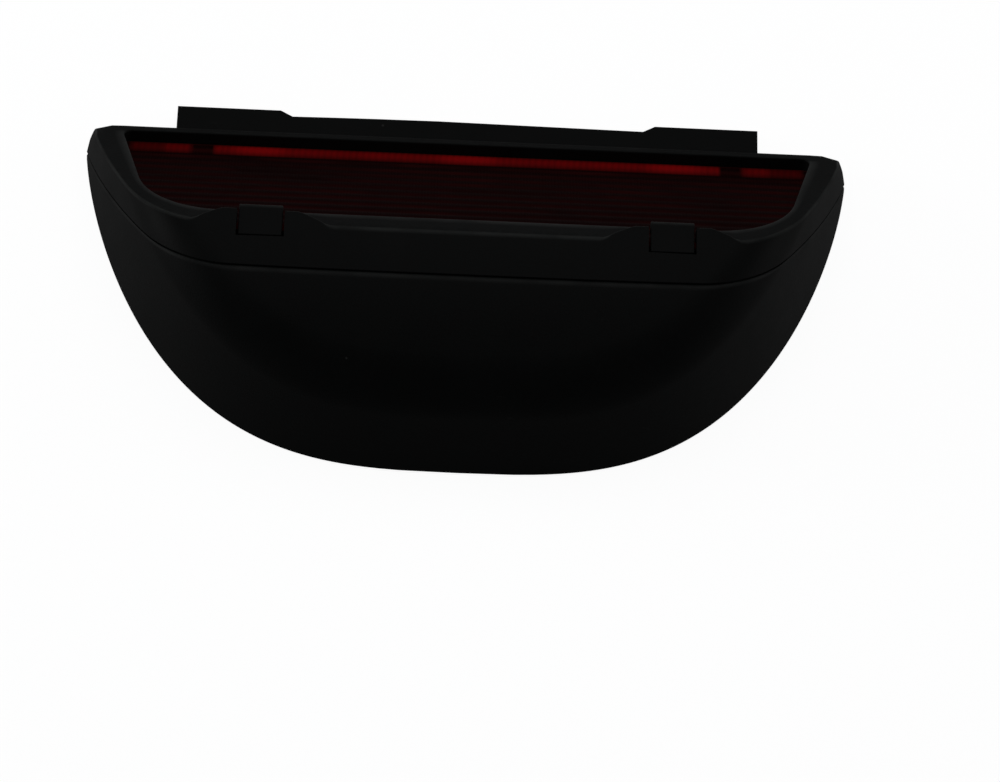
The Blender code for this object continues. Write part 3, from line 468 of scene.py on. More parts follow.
def bezel_rows(settings):
    """The bezel's section at every column round the opening, as rows of points, with each row's edge wear
    and painted highlight.
    """
    path, normals = opening_path(0, settings.column_spacing)
    x, up = path[:, 0], path[:, 1]
    outward = np.stack([normals[:, 0], -normals[:, 1] * cos(SLANT), normals[:, 1] * sin(SLANT)], -1)

    def at(run, depth):
        return mouth_point(x, up, depth) + np.asarray(run)[..., None] * outward

    def skin(depth, inner=0.0):
        start = mouth_point(x, up, depth)
        return start + skin_distance(start, outward, inner)[..., None] * outward

    rim, lip = settings.rim_round, settings.opening_round
    edge = skin(np.zeros(len(x)))
    low, high = np.full(len(x), rim), np.full(len(x), BEZEL_DEPTH)
    for _ in range(FOOT_HALVINGS):
        middle = (low + high) / 2
        place = skin(middle)
        foot = np.where(np.abs(place[:, 0]) < FLANGE_HALF, PLATE_TOP + TRIM_FIT, FOOT)
        above = place[:, 2] > foot
        low, high = np.where(above, middle, low), np.where(above, high, middle)
    last = high

    upright = np.clip(normals[:, 1], 0.05, 1)
    land = np.where(normals[:, 1] > 0.05, land_reach(edge[:, 0]), 0)
    forward = land[:, None] * np.array([0, 1, 0])
    share = np.clip(land / (2 * rim), 0, 1)[:, None]
    reach = np.linalg.norm(edge - mouth_point(x, up, 0), axis=1)
    face_end = at(reach - rim, 0)
    skin_start = skin(np.full(len(x), rim))
    junction = at(np.maximum(reach - land / (cos(SLANT) * upright), lip), 0)
    front_top = edge + forward
    a = face_end * (1 - share) + junction * share
    b = face_end * (1 - share) + (front_top - np.array([0, 0, rim * 0.6])) * share
    corner = edge * (1 - share) + front_top * share
    c = skin_start * (1 - share) + (front_top - np.array([0, rim * 0.6, 0])) * share

    rows, wear_and_sheen = [], []
    # Pale edges along the lip, the rim's corner and the seam: partly edge wear, partly a painted
    # highlight; kept faint where the edge faces down the slope
    shown = np.where(normals[:, 1] < -0.5, 0.2, 1.0)

    def add(points, amount=0.0):
        rows.append(points)
        wear_and_sheen.append(amount * shown)

    add(at(np.zeros(len(x)), LENS_SEAT))
    add(at(np.zeros(len(x)), lip * 1.5))
    lip_start, lip_corner = at(np.zeros(len(x)), lip), at(np.zeros(len(x)), 0.0)
    for point in bent(lip_start, lip_corner, at(np.full(len(x), lip), 0.0), 3):
        add(point, 0.8)
    first = rows[-1]
    for step in (0.35, 0.7):
        add(first * (1 - step) + a * step)
    add(a)
    for point, amount in zip(bent(b, corner, c, 4), (0.1, 1.0, 1.0, 0.5, 0.0)):
        add(point, amount)
    add(skin_start * 0.5 + c * 0.5)
    add(skin_start)
    steps = 12
    for step in range(1, steps + 1):
        depth = rim + (last - settings.seam_round - rim) * step / steps
        add(skin(depth))
    add(skin(last, settings.seam_round), 0.4)
    inner_low = np.maximum(skin_distance(mouth_point(x, up, last), outward, WALL), TUNNEL_WALL)
    roof = np.where(inner_low <= TUNNEL_WALL, last, RIM_THICKNESS)
    inner_high = np.maximum(skin_distance(mouth_point(x, up, roof), outward, WALL), TUNNEL_WALL)
    add(at(inner_low, last))
    add(at(inner_high, roof))
    add(at(np.full(len(x), TUNNEL_WALL), roof))
    add(at(np.full(len(x), TUNNEL_WALL), LENS_SEAT))
    return rows, wear_and_sheen


def slot_cutter(side):
    half = TONGUE_WIDTH / 2 + TONGUE_SLIT
    low = (side * TONGUE_X - half, TONGUE_LOW.y - TONGUE_SLIT, TOP_HEIGHT - EDGE_RADIUS)
    high = (side * TONGUE_X + half, TONGUE_HIGH.y + 2 * LAND_REACH, TOP_HEIGHT + EDGE_RADIUS)
    return block(f"slot_cutter_{side}", low, high)


def make_bezel(settings):
    rows, wear_and_sheen = bezel_rows(settings)
    columns = len(rows[0])
    vertices = np.concatenate(rows)
    faces = grid_faces(len(rows), columns, True, True)
    bezel = new_object("bezel_shell", vertices, faces, np.concatenate(wear_and_sheen))
    tidy_mesh(bezel)
    for side in (-1, 1):
        cut(bezel, slot_cutter(side))
    return tidy_mesh(bezel, distance=1e-7)


# ---------------------------------------------------------------- rear cover


def foot_place(depth):
    """Where a plane this far behind the mouth's face meets the housing's foot, at the middle."""
    up = (FOOT - BAR_HEIGHT + depth * cos(SLANT)) / sin(SLANT)
    return mouth_point(0.0, up, depth)


def nose_depth(inner):
    """The depth behind the mouth's face at which a plane just touches the nose's foot."""
    low, high = BEZEL_DEPTH, FAR
    for _ in range(NOSE_HALVINGS):
        middle = (low + high) / 2
        if outside(foot_place(middle), inner) > 0:
            high = middle
        else:
            low = middle
    return low


def arch(depth, inner, columns):
    """Points over the housing from foot to foot, on a plane parallel to the mouth's face."""
    angle = np.linspace(0, pi, columns)
    across, rise = np.cos(angle) * HALF_WIDTH, np.sin(angle) * EDGE_RADIUS * ARCH_RISE
    length = np.hypot(across, rise)
    direction = np.stack([across, -rise * cos(SLANT), rise * sin(SLANT)], -1) / length[:, None]
    start = np.broadcast_to(foot_place(depth), direction.shape)
    return start + skin_distance(start, direction, inner)[:, None] * direction


def make_cover(settings):
    columns, count = settings.cover_columns, settings.cover_rows
    first = BEZEL_DEPTH + SEAM_GAP
    rows, wear_and_sheen = [], []
    last = nose_depth(0.0)
    inner_last = nose_depth(WALL)
    shares = [1 - (1 - step / count) ** NOSE_SPACING for step in range(count)]
    for step in reversed(range(0, count, 4)):
        rows.append(arch(first + (inner_last - first) * shares[step], WALL, columns))
        wear_and_sheen.append(0.0)
    inner_count = len(rows)
    rows.append(arch(first, settings.seam_round, columns))
    wear_and_sheen.append(0.5)
    rows.append(arch(first + settings.seam_round, settings.seam_round * 0.2, columns))
    wear_and_sheen.append(0.5)
    run = last - first - settings.seam_round
    for step in range(1, count):
        rows.append(arch(first + settings.seam_round + run * shares[step], 0.0, columns))
        wear_and_sheen.append(0.0)
    vertices = np.concatenate(rows)
    amounts = list(np.repeat(wear_and_sheen, columns))
    faces = grid_faces(len(rows), columns, False, False)
    inner_nose = len(vertices)
    outer_nose = inner_nose + 1
    vertices = np.concatenate([vertices, foot_place(inner_last)[None], foot_place(last)[None]])
    amounts += [0.0, 0.0]
    top = (len(rows) - 1) * columns
    for column in range(columns - 1):
        faces.append((column + 1, column, inner_nose))
        faces.append((top + column, top + column + 1, outer_nose))
    for column in (0, columns - 1):
        inner_side = [inner_nose] + [row * columns + column for row in range(inner_count)]
        outer_side = [row * columns + column for row in range(inner_count, len(rows))] + [outer_nose]
        faces.append(inner_side + outer_side)
    cover = new_object("cover_shell", vertices, faces, amounts)
    return tidy_mesh(cover)


# ---------------------------------------------------------------- latch tongues


def make_tongue(name, side):
    """A snap tongue with a rounded, slightly raised tip and a hook under it."""
    root, tip = TONGUE_LOW.y, TONGUE_HIGH.y
    top = TONGUE_HIGH.z
    hook_tip = TONGUE_LOW.z
    thickness = TONGUE_THICKNESS
    profile = [
        (root, top - thickness),
        (tip - thickness, top - thickness),
        (tip - thickness, hook_tip),
        (tip - thickness * 0.75, hook_tip),
        (tip, top - thickness * 0.9),
        (tip, top - 0.0007),
        (tip - 0.0002, top - 0.0003),
        (tip - 0.0006, top - 0.0001),
        (tip - 0.0016, top),
        (root, top),
    ]
    half = TONGUE_WIDTH / 2
    shape = bmesh.new()
    ring = [shape.verts.new((side * TONGUE_X - half, y, z)) for y, z in profile]
    face = shape.faces.new(ring)
    pushed = bmesh.ops.extrude_face_region(shape, geom=[face])
    moved = [item for item in pushed["geom"] if isinstance(item, bmesh.types.BMVert)]
    bmesh.ops.translate(shape, vec=(TONGUE_WIDTH, 0, 0), verts=moved)
    bmesh.ops.recalc_face_normals(shape, faces=shape.faces)
    mesh = bpy.data.meshes.new(name)
    shape.to_mesh(mesh)
    shape.free()
    # The tip's top front edge is painted pale: partly edge wear, partly a painted highlight
    wear_and_sheen = mesh.attributes.new("wear_and_sheen", "FLOAT", "POINT")
    for vertex in mesh.vertices:
        worn_and_sheen = vertex.co.y > tip - 0.001 and vertex.co.z > top - 0.0008
        wear_and_sheen.data[vertex.index].value = 1.0 if worn_and_sheen else 0.0
    obj = bpy.data.objects.new(name, mesh)
    bpy.context.scene.collection.objects.link(obj)
    soften(obj, 0.00025, 3)
    return obj


def soften(obj, width, segments=2, angle=radians(32)):
    bevel = obj.modifiers.new("Rounded edges", "BEVEL")
    bevel.width = width
    bevel.segments = segments
    bevel.limit_method = "ANGLE"
    bevel.angle_limit = angle
    bevel.harden_normals = False
    obj.data.shade_smooth()
    obj.data.set_sharp_from_angle(angle=radians(50))


# ---------------------------------------------------------------- lens


def lens_half(up, grow):
    """Half the lens's width at this height up the slope."""
    low, high = OPENING_LOW - grow, OPENING_TOP + grow
    narrowing = (OPENING_LOW_HALF - OPENING_TOP_HALF) / (high - low)
    lean = atan2(OPENING_LOW_HALF - OPENING_TOP_HALF, high - low)
    straight = OPENING_LOW_HALF + grow - narrowing * (up - low)
    corner = OPENING_CORNER + grow
    centre_up = high - corner
    centre_x = OPENING_LOW_HALF + grow - narrowing * (centre_up - low) - corner / cos(lean)
    arc = centre_x + np.sqrt(np.maximum(corner**2 - (up - centre_up) ** 2, 0))
    return np.where(up > centre_up + corner * sin(lean), arc, straight)


def make_lens(settings):
    grow = LENS_MARGIN
    low, high = OPENING_LOW - grow * 0.5, OPENING_TOP + grow
    pitch, depth = settings.flute_pitch, settings.flute_depth
    strip_top = low + grow * 0.5 + settings.strip_width + STRIP_EDGE
    per_flute = 6
    ups = list(np.linspace(low, strip_top, 9)[:-1])
    flutes = max(1, round((high - strip_top) / pitch))
    ups += list(np.linspace(strip_top, high - LENS_TRIM, flutes * per_flute + 1))
    columns = 2 * round(OPENING_LOW_HALF / (settings.bead_pitch / 4)) + 1
    rows = []
    across = np.linspace(-1, 1, columns)
    for up in ups:
        x = across * lens_half(np.array(up), grow)
        if up < strip_top - 1e-9:
            share = (up - low) / (strip_top - low)
            bead = np.abs(np.sin(pi * x / settings.bead_pitch)) * BEAD_HEIGHT
            behind = LENS_RECESS + STRIP_SINK - np.sin(pi * share) * (STRIP_BULGE + bead)
        else:
            share = ((up - strip_top) / ((high - LENS_TRIM - strip_top) / flutes)) % 1.0
            behind = LENS_RECESS + depth * (1 - np.sin(pi * share)) * np.ones(columns)
        rows.append(mouth_point(x, up, behind))
    back = LENS_RECESS + LENS_THICKNESS
    low_back = mouth_point(across * lens_half(np.array(low), grow), low, back)
    high_back = mouth_point(across * lens_half(np.array(high - LENS_TRIM), grow), high - LENS_TRIM, back)
    middle_backs = []
    for share in np.linspace(0, 1, 30)[1:-1]:
        up = high - LENS_TRIM + (low - high + LENS_TRIM) * share
        middle_backs.append(mouth_point(across * lens_half(np.array(up), grow), up, back))
    rows += [high_back] + middle_backs + [low_back]
    faces = grid_faces(len(rows), columns, True, False)
    vertices = np.concatenate(rows)
    lens = new_object("lens_fluted", vertices, faces)
    shape = bmesh.new()
    shape.from_mesh(lens.data)
    shape.verts.ensure_lookup_table()
    for column in (0, columns - 1):
        shape.faces.new([shape.verts[row * columns + column] for row in range(len(rows))])
    bmesh.ops.recalc_face_normals(shape, faces=shape.faces)
    shape.to_mesh(lens.data)
    shape.free()
    lens.data.shade_smooth()
    lens.data.set_sharp_from_angle(angle=radians(40))
    return lens


# ---------------------------------------------------------------- finishes


def socket(tree, name, kind, direction, default=None):
    made = tree.interface.new_socket(name=name, in_out=direction, socket_type=kind)
    if default is not None:
        made.default_value = default


def group(name, inputs, outputs):
    """A new shader node group with its inputs and outputs."""
    tree = bpy.data.node_groups.new(name, "ShaderNodeTree")
    for label, kind, default in inputs:
        socket(tree, label, kind, "INPUT", default)
    for label, kind in outputs:
        socket(tree, label, kind, "OUTPUT")
    return tree, tree.nodes.new("NodeGroupInput"), tree.nodes.new("NodeGroupOutput")


def noise(tree, vector, scale, detail=3.0, roughness=0.6, distortion=0.0):
    made = tree.nodes.new("ShaderNodeTexNoise")
    made.inputs["Detail"].default_value = detail
    made.inputs["Roughness"].default_value = roughness
    made.inputs["Distortion"].default_value = distortion
    if isinstance(scale, (int, float)):
        made.inputs["Scale"].default_value = scale
    else:
        tree.links.new(scale, made.inputs["Scale"])
    tree.links.new(vector, made.inputs["Vector"])
    return made.outputs["Fac"]


def ramp(tree, value, low, high):
    """Maps a value so that low gives 0 and high gives 1, held between them."""
    made = tree.nodes.new("ShaderNodeMapRange")
    made.inputs["From Min"].default_value = low
    made.inputs["From Max"].default_value = high
    tree.links.new(value, made.inputs["Value"])
    return made.outputs["Result"]


def maths(tree, operation, first, second=None):
    made = tree.nodes.new("ShaderNodeMath")
    made.operation = operation
    for index, value in enumerate((first, second)):
        if value is None:
            continue
        if isinstance(value, (int, float)):
            made.inputs[index].default_value = value
        else:
            tree.links.new(value, made.inputs[index])
    return made.outputs["Value"]


def stretched(tree, vector, scale, turn=0.0):
    made = tree.nodes.new("ShaderNodeMapping")
    made.inputs["Scale"].default_value = scale
    made.inputs["Rotation"].default_value = (0, 0, turn)
    tree.links.new(vector, made.inputs["Vector"])
    return made.outputs["Vector"]


def build_groups():
    """Effects that several finishes share."""
    tree, start, end = group(
        "Moulded grain",
        [("Vector", "NodeSocketVector", None), ("Scale", "NodeSocketFloat", 1400.0)],
        [("Height", "NodeSocketFloat"), ("Tone", "NodeSocketFloat")],
    )
    cells = tree.nodes.new("ShaderNodeTexVoronoi")
    cells.feature = "SMOOTH_F1"
    cells.inputs["Smoothness"].default_value = 0.6
    tree.links.new(start.outputs["Vector"], cells.inputs["Vector"])
    tree.links.new(start.outputs["Scale"], cells.inputs["Scale"])
    fine = noise(tree, start.outputs["Vector"], maths(tree, "MULTIPLY", start.outputs["Scale"], 0.6), 2.0)
    height = maths(tree, "ADD", cells.outputs["Distance"], maths(tree, "MULTIPLY", fine, 0.6))
    tree.links.new(height, end.inputs["Height"])
    tree.links.new(noise(tree, start.outputs["Vector"], 45.0, 4.0), end.inputs["Tone"])

    tree, start, end = group(
        "Dust and scuffs",
        [("Vector", "NodeSocketVector", None), ("Amount", "NodeSocketFloat", 0.5)],
        [("Dust", "NodeSocketFloat"), ("Scuffs", "NodeSocketFloat"), ("Specks", "NodeSocketFloat")],
    )
    vector = start.outputs["Vector"]
    cloud = ramp(tree, noise(tree, vector, 16.0, 5.0, 0.65), 0.42, 0.75)
    fine = ramp(tree, noise(tree, vector, 420.0, 3.0, 0.7), 0.45, 0.8)
    dust = maths(tree, "MULTIPLY", maths(tree, "MULTIPLY", cloud, fine), start.outputs["Amount"])
    tree.links.new(dust, end.inputs["Dust"])
    streaks = stretched(tree, vector, (90, 700, 200), 0.5)
    strokes = ramp(tree, noise(tree, streaks, 1.0, 2.0, 0.5, 0.4), 0.70, 0.78)
    where = ramp(tree, noise(tree, vector, 22.0, 2.0), 0.56, 0.68)
    tree.links.new(maths(tree, "MULTIPLY", strokes, where), end.inputs["Scuffs"])
    dots = tree.nodes.new("ShaderNodeTexVoronoi")
    dots.inputs["Scale"].default_value = 95.0
    tree.links.new(vector, dots.inputs["Vector"])
    small = ramp(tree, dots.outputs["Distance"], 0.055, 0.03)
    rare = ramp(tree, noise(tree, vector, 38.0, 1.0), 0.60, 0.66)
    tree.links.new(maths(tree, "MULTIPLY", small, rare), end.inputs["Specks"])


def place_group(tree, name, vector, **inputs):
    made = tree.nodes.new("ShaderNodeGroup")
    made.node_tree = bpy.data.node_groups[name]
    tree.links.new(vector, made.inputs["Vector"])
    for key, value in inputs.items():
        made.inputs[key].default_value = value
    return made.outputs


def blank_material(name):
    made = bpy.data.materials.new(name)
    made.use_nodes = True
    tree = made.node_tree
    shader = tree.nodes["Principled BSDF"]
    coordinates = tree.nodes.new("ShaderNodeTexCoord")
    return made, tree, shader, coordinates.outputs["Object"]


def mix_colour(tree, amount, first, second):
    made = tree.nodes.new("ShaderNodeMix")
    made.data_type = "RGBA"
    for key, value in (("A", first), ("B", second)):
        target = [item for item in made.inputs if item.name == key and item.type == "RGBA"][0]
        if isinstance(value, tuple):
            target.default_value = value
        else:
            tree.links.new(value, target)
    tree.links.new(amount, made.inputs["Factor"])
    return [item for item in made.outputs if item.type == "RGBA"][0]


def bump(tree, shader, height, strength, distance):
    made = tree.nodes.new("ShaderNodeBump")
    made.inputs["Strength"].default_value = strength
    made.inputs["Distance"].default_value = distance
    tree.links.new(height, made.inputs["Height"])
    tree.links.new(made.outputs["Normal"], shader.inputs["Normal"])


def black_plastic(settings):
    """Grained black moulding with dust, faint scuffs and paler edges, partly wear and partly a painted
    highlight.
    """
    made, tree, shader, vector = blank_material("black_grained_plastic")
    grain = place_group(tree, "Moulded grain", vector, Scale=1500.0)
    dirt = place_group(tree, "Dust and scuffs", vector, Amount=0.5)
    base = tuple(settings.colour) + (1,)
    dust = tuple(settings.dust_colour) + (1,)
    paler = tuple(value * 1.7 for value in settings.colour) + (1,)
    tone = mix_colour(tree, ramp(tree, grain["Tone"], 0.35, 0.75), base, paler)
    dusty = mix_colour(tree, maths(tree, "MULTIPLY", dirt["Dust"], 0.05), tone, dust)
    scuffs = maths(tree, "MULTIPLY", dirt["Scuffs"], 0.08)
    scuffed = mix_colour(tree, scuffs, dusty, (0.10, 0.10, 0.095, 1))
    specks = maths(tree, "MULTIPLY", dirt["Specks"], 0.25)
    specked = mix_colour(tree, specks, scuffed, (0.16, 0.16, 0.15, 1))
    # Pale edges from the attribute: partly edge wear, partly a painted highlight on the rounded edges
    worn_and_sheen = tree.nodes.new("ShaderNodeAttribute")
    worn_and_sheen.attribute_name = "wear_and_sheen"
    uneven = ramp(tree, noise(tree, vector, 60.0, 2.0), 0.1, 0.6)
    edge = maths(tree, "MULTIPLY", worn_and_sheen.outputs["Fac"], uneven)
    final = mix_colour(tree, maths(tree, "MULTIPLY", edge, 0.28), specked, (0.12, 0.125, 0.12, 1))
    tree.links.new(final, shader.inputs["Base Color"])
    rough = ramp(tree, grain["Tone"], 0.2, 0.8)
    low = maths(tree, "ADD", maths(tree, "MULTIPLY", rough, 0.12), 0.50)
    shiny = maths(tree, "SUBTRACT", low, maths(tree, "MULTIPLY", edge, 0.16))
    tree.links.new(shiny, shader.inputs["Roughness"])
    shader.inputs["Specular IOR Level"].default_value = 0.12
    bump(tree, shader, grain["Height"], 0.22, 0.00012)
    return made


def between(tree, value, low, high, blur):
    """A soft mask: 1 between low and high, 0 outside them."""
    above = ramp(tree, value, low - blur, low + blur)
    return maths(tree, "MULTIPLY", above, ramp(tree, value, high + blur, high - blur))


def lens_red(settings):
    """Dark red lens with fine ribs; the flute and rib crests carry a painted highlight, the whole lens a
    faint painted glow, and the strip along its low edge a brighter painted glow for the light that comes
    through it.
    """
    made, tree, shader, vector = blank_material("red_lens")
    split = tree.nodes.new("ShaderNodeSeparateXYZ")
    tree.links.new(vector, split.inputs["Vector"])
    across = maths(tree, "ABSOLUTE", split.outputs["X"])
    ribs = maths(tree, "SINE", maths(tree, "MULTIPLY", split.outputs["X"], 2 * pi / settings.rib_pitch))
    back = maths(tree, "MULTIPLY", maths(tree, "SUBTRACT", BAR_Y, split.outputs["Y"]), cos(SLANT))
    rise = maths(tree, "MULTIPLY", maths(tree, "SUBTRACT", split.outputs["Z"], BAR_HEIGHT), sin(SLANT))
    up = maths(tree, "ADD", back, rise)

    cloud = ramp(tree, noise(tree, stretched(tree, vector, (1, 3, 3)), 30.0, 3.0), 0.3, 0.7)
    deep = tuple(settings.colour) + (1,)
    # Painted highlight: flute and rib crests are painted up to twice as light as the lens's red
    flute_sheen = tuple(value * 2.0 for value in settings.colour) + (1,)
    above_strip = maths(tree, "SUBTRACT", up, settings.strip_width)
    turn = maths(tree, "MULTIPLY", above_strip, 2 * pi / settings.flute_pitch)
    flutes = ramp(tree, maths(tree, "SINE", turn), -0.4, 1.0)
    tone = mix_colour(tree, maths(tree, "MULTIPLY", cloud, flutes), deep, flute_sheen)
    ribbed = mix_colour(tree, maths(tree, "MULTIPLY", ramp(tree, ribs, 0.2, 1.0), 0.35), tone, flute_sheen)
    tree.links.new(ribbed, shader.inputs["Base Color"])

    # Painted glow on the strip along the low edge: emission standing in for light coming through the lens
    # there
    offset = maths(tree, "DIVIDE", maths(tree, "SUBTRACT", up, STRIP_CENTRE), STRIP_REACH)
    fall = maths(tree, "MULTIPLY", offset, offset)
    dome = maths(tree, "MAXIMUM", maths(tree, "SUBTRACT", 1.0, fall), 0.0)
    glow = maths(tree, "MULTIPLY", dome, dome)
    middle = ramp(tree, across, STRIP_GAP[0], STRIP_GAP[0] - STRIP_BLUR)
    bright_end = between(tree, across, STRIP_GAP[1], STRIP_END, STRIP_BLUR)
    dim_end = between(tree, across, STRIP_END, STRIP_LAST, STRIP_BLUR)
    bright_end = maths(tree, "MULTIPLY", bright_end, 0.75)
    ends = maths(tree, "ADD", bright_end, maths(tree, "MULTIPLY", dim_end, 0.35))
    along = maths(tree, "ADD", middle, ends)
    patches = ramp(tree, noise(tree, stretched(tree, vector, (60, 20, 20)), 1.0, 3.0), 0.25, 0.75)
    wave = maths(tree, "COSINE", maths(tree, "MULTIPLY", split.outputs["X"], 2 * pi / STRIP_SPOTS))
    spots = ramp(tree, wave, 0.55, 1.0)
    beads = maths(tree, "SINE", maths(tree, "MULTIPLY", split.outputs["X"], 2 * pi / settings.bead_pitch))
    lively = maths(tree, "MULTIPLY", patches, 0.25)
    lively = maths(tree, "ADD", lively, maths(tree, "MULTIPLY", beads, 0.06))
    lively = maths(tree, "ADD", lively, maths(tree, "MULTIPLY", spots, 0.45))
    strength = maths(tree, "MULTIPLY", glow, along)
    strength = maths(tree, "MULTIPLY", strength, maths(tree, "ADD", lively, 0.5))
    lit = tuple(settings.painted_strip_glow) + (1,)
    # Painted glow: a faint red emission over the whole lens, lighter along the flutes
    faint_glow_low, faint_glow_high = (0.0012, 0.0002, 0.0002, 1), (0.0058, 0.0004, 0.0004, 1)
    faint_painted_glow = mix_colour(tree, maths(tree, "MULTIPLY", flutes, cloud), faint_glow_low, faint_glow_high)
    tree.links.new(mix_colour(tree, strength, faint_painted_glow, lit), shader.inputs["Emission Color"])
    shader.inputs["Emission Strength"].default_value = 1.0
    shader.inputs["Roughness"].default_value = 0.45
    shader.inputs["Specular IOR Level"].default_value = 0.015
    bump(tree, shader, ribs, 0.25, 0.00008)
    return made


def plain_finish(name, colour, roughness, metallic=0.0, grain=900.0, depth=0.1, variation=0.25):
    """A finish for an inner part: its colour, a little tone variation and a fine surface."""
    made, tree, shader, vector = blank_material(name)
    surface = place_group(tree, "Moulded grain", vector, Scale=grain)
    darker = tuple(value * (1 - variation) for value in colour) + (1,)
    tree.links.new(
        mix_colour(tree, ramp(tree, surface["Tone"], 0.3, 0.7), darker, tuple(colour) + (1,)),
        shader.inputs["Base Color"],
    )
    value = maths(tree, "ADD", maths(tree, "MULTIPLY", surface["Tone"], 0.15), roughness - 0.07)
    tree.links.new(value, shader.inputs["Roughness"])
    shader.inputs["Metallic"].default_value = metallic
    bump(tree, shader, surface["Height"], depth, 0.0001)
    return made


INSIDE_FINISHES = {
    "lamp_plastic": ((0.022, 0.022, 0.024), 0.45, 0.0, 1100.0, 0.15),
    "black_rubber": ((0.012, 0.012, 0.012), 0.75, 0.0, 1300.0, 0.3),
    "grey_foam": ((0.05, 0.05, 0.052), 0.95, 0.0, 1500.0, 0.8),
    "bright_aluminium": ((0.82, 0.82, 0.83), 0.14, 1.0, 300.0, 0.03),
    "tungsten": ((0.3, 0.29, 0.28), 0.4, 1.0, 2500.0, 0.4),
    "natural_nylon": ((0.58, 0.53, 0.42), 0.45, 0.0, 700.0, 0.1),
    "contact_brass": ((0.68, 0.5, 0.24), 0.3, 1.0, 900.0, 0.08),
    "zinc_steel": ((0.5, 0.51, 0.5), 0.34, 1.0, 800.0, 0.12),
}


# ---------------------------------------------------------------- operators


class BRAKELIGHT_OT_bezel(bpy.types.Operator):
    """Builds the bezel ring around the slanted mouth"""

    bl_idname = "brakelight.bezel"
    bl_label = "Build front bezel"

    def execute(self, context):
        settings = context.scene.brakelight_housing
        look = bpy.data.materials["black_grained_plastic"]
        dress(make_bezel(settings), "lamp_body", "black_plastic", look, "front_bezel")
        return {"FINISHED"}


class BRAKELIGHT_OT_cover(bpy.types.Operator):
    """Builds the half-moon cover behind the seam"""

    bl_idname = "brakelight.cover"
    bl_label = "Build rear cover"

    def execute(self, context):
        settings = context.scene.brakelight_housing
        look = bpy.data.materials["black_grained_plastic"]
        dress(make_cover(settings), "cover", "black_plastic", look, "rear_cover")
        return {"FINISHED"}


class BRAKELIGHT_OT_tongues(bpy.types.Operator):
    """Builds the two snap tongues in the bezel's upper edge"""

    bl_idname = "brakelight.tongues"
    bl_label = "Build latch tongues"

    def execute(self, context):
        look = bpy.data.materials["black_grained_plastic"]
        for side, end in ((-1, "left"), (1, "right")):
            tongue = make_tongue(f"tongue_{end}_fine", side)
            dress(tongue, f"tongue_{end}", "black_plastic", look, f"latch_tongue_{end}")
        return {"FINISHED"}


class BRAKELIGHT_OT_lens(bpy.types.Operator):
    """Builds the fluted lens, its low edge bright with a painted glow"""

    bl_idname = "brakelight.lens"
    bl_label = "Build lens"

    def execute(self, context):
        settings = context.scene.brakelight_lens
        dress(make_lens(settings), "lamp_body", "red_lens_plastic", bpy.data.materials["red_lens"], "lens")
        return {"FINISHED"}


class BRAKELIGHT_OT_plate(bpy.types.Operator):
    """Builds the base plate with its rear flange"""

    bl_idname = "brakelight.plate"
    bl_label = "Build base plate"

    def execute(self, context):
        plate = softened_copy("base_plate", "plate_fine", 0.0004)
        look = bpy.data.materials["black_grained_plastic"]
        dress(plate, "lamp_body", "black_plastic", look, "base_plate")
        return {"FINISHED"}


def softened_copy(name, new_name, width):
    """A copy of a frame part with its edges rounded."""
    source = frame["nodes"][name]
    obj = bpy.data.objects.new(new_name, source.data.copy())
    bpy.context.scene.collection.objects.link(obj)
    shape = bmesh.new()
    shape.from_mesh(obj.data)
    bmesh.ops.remove_doubles(shape, verts=shape.verts, dist=1e-5)
    bmesh.ops.dissolve_limit(shape, angle_limit=radians(1), verts=shape.verts, edges=shape.edges)
    bmesh.ops.recalc_face_normals(shape, faces=shape.faces)
    shape.to_mesh(obj.data)
    shape.free()
    soften(obj, width)
    return obj


class BRAKELIGHT_OT_inside(bpy.types.Operator):
    """Gives every part inside the housing its finish"""

    bl_idname = "brakelight.inside"
    bl_label = "Finish inner parts"

    def execute(self, context):
        slots = {item["node"]: item["material_slot"] for item in frame["record"]["subparts"]}
        plastic = bpy.data.materials["black_grained_plastic"]
        for name, obj in frame["nodes"].items():
            if obj.hide_render:
                continue
            obj.data.materials.clear()
            obj.data.materials.append(bpy.data.materials.get(f"{slots[name]}_finish", plastic))
        return {"FINISHED"}


class BRAKELIGHT_OT_finishes(bpy.types.Operator):
    """Makes the shared effects and every finish"""

    bl_idname = "brakelight.finishes"
    bl_label = "Make finishes"

    def execute(self, context):
        build_groups()
        black_plastic(context.scene.brakelight_housing)
        lens_red(context.scene.brakelight_lens)
        for slot, (colour, roughness, metallic, grain, depth) in INSIDE_FINISHES.items():
            plain_finish(f"{slot}_finish", colour, roughness, metallic, grain, depth)
        glass = plain_finish("bulb_glass_clear_finish", (0.95, 0.96, 0.96), 0.07, 0.0, 200.0, 0.02, 0.03)
        glass.node_tree.nodes["Principled BSDF"].inputs["Transmission Weight"].default_value = 1.0
        return {"FINISHED"}


def camera_frame(settings):
    """The camera's right, up and forward directions."""
    p, t, r = settings.elevation, settings.turn, settings.roll
    forward = Vector((sin(t) * cos(p), cos(t) * cos(p), -sin(p)))
    level = Vector((cos(t), -sin(t), 0))
    upward = level.cross(forward)
    right = cos(r) * level + sin(r) * upward
    return right, cos(r) * upward - sin(r) * level, forward


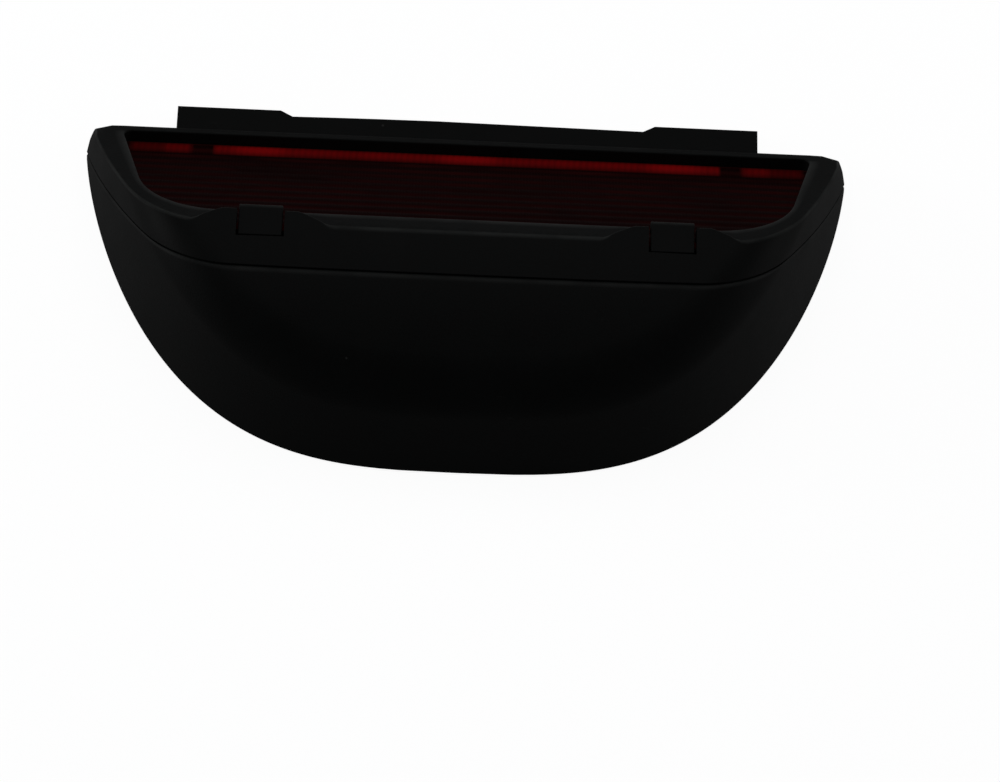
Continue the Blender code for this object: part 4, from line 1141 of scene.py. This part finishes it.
class BRAKELIGHT_OT_stage(bpy.types.Operator):
    """Sets the pale floor, the soft lights and the camera"""

    bl_idname = "brakelight.stage"
    bl_label = "Set the stage"

    def execute(self, context):
        settings = context.scene.brakelight_stage
        scene = context.scene
        bpy.ops.mesh.primitive_plane_add(size=6)
        floor = context.object
        floor.name = "floor"
        look, tree, shader, vector = blank_material("pale_floor")
        shader.inputs["Base Color"].default_value = (0.30, 0.30, 0.30, 1)
        shader.inputs["Roughness"].default_value = 0.9
        shader.inputs["Emission Color"].default_value = (1, 1, 1, 1)
        path = tree.nodes.new("ShaderNodeLightPath")
        glow = ramp(tree, path.outputs["Is Camera Ray"], 0.0, 1.0)
        glow.node.inputs["To Min"].default_value = settings.floor_bounce
        glow.node.inputs["To Max"].default_value = settings.floor_glow
        tree.links.new(glow, shader.inputs["Emission Strength"])
        floor.data.materials.append(look)

        world = bpy.data.worlds.new("studio")
        world.use_nodes = True
        world.node_tree.nodes["Background"].inputs["Color"].default_value = (0.9, 0.95, 1.0, 1)
        world.node_tree.nodes["Background"].inputs["Strength"].default_value = settings.sky
        scene.world = world

        for name, place, size, power in (
            ("window_left", (-1.4, 0.2, 0.30), 0.55, 2.5),
            ("window_right", (1.4, 0.2, 0.30), 0.55, 1.2),
            ("lamp_above", (0.0, 0.6, 1.3), 1.4, 2.8),
        ):
            data = bpy.data.lights.new(name, "AREA")
            data.size = size
            data.energy = power
            lamp = bpy.data.objects.new(name, data)
            lamp.location = place
            lamp.rotation_euler = (Vector(place) - Vector((0, 0, 0.02))).to_track_quat("Z", "Y").to_euler()
            scene.collection.objects.link(lamp)

        right, upward, forward = camera_frame(settings)
        aim = Vector((0, BAR_Y - AIM_BACK, AIM_HEIGHT))
        data = bpy.data.cameras.new("camera")
        data.lens = settings.lens
        data.sensor_width = 36
        data.clip_end = 20
        camera = bpy.data.objects.new("camera", data)
        place = aim - forward * settings.distance + right * AIM_RIGHT - upward * AIM_DOWN
        turn = Matrix((right, upward, -forward)).transposed().to_4x4()
        camera.matrix_world = Matrix.Translation(place) @ turn
        scene.collection.objects.link(camera)
        scene.camera = camera
        scene.view_settings.view_transform = "Standard"
        return {"FINISHED"}


class BRAKELIGHT_PT_panel(bpy.types.Panel):
    """Lists the steps of the brake light"""

    bl_idname = "BRAKELIGHT_PT_panel"
    bl_label = "Third Brake Light"
    bl_space_type = "VIEW_3D"
    bl_region_type = "UI"
    bl_category = "Brake Light"

    def draw(self, context):
        for step in STEPS:
            self.layout.operator(step.bl_idname)


SETTINGS = {
    "brakelight_housing": HousingSettings,
    "brakelight_lens": LensSettings,
    "brakelight_stage": StageSettings,
}
STEPS = (
    BRAKELIGHT_OT_finishes,
    BRAKELIGHT_OT_bezel,
    BRAKELIGHT_OT_cover,
    BRAKELIGHT_OT_tongues,
    BRAKELIGHT_OT_lens,
    BRAKELIGHT_OT_plate,
    BRAKELIGHT_OT_inside,
    BRAKELIGHT_OT_stage,
)


def register():
    for kind in (*SETTINGS.values(), *STEPS, BRAKELIGHT_PT_panel):
        bpy.utils.register_class(kind)
    for name, kind in SETTINGS.items():
        setattr(bpy.types.Scene, name, PointerProperty(type=kind))


def unregister():
    for name in SETTINGS:
        delattr(bpy.types.Scene, name)
    for kind in reversed((*SETTINGS.values(), *STEPS, BRAKELIGHT_PT_panel)):
        bpy.utils.unregister_class(kind)


def main():
    register()
    bpy.ops.brakelight.finishes()
    bpy.ops.brakelight.bezel()
    bpy.ops.brakelight.cover()
    bpy.ops.brakelight.tongues()
    bpy.ops.brakelight.lens()
    bpy.ops.brakelight.plate()
    bpy.ops.brakelight.inside()
    bpy.ops.brakelight.stage()


if __name__ == "__main__":
    main()
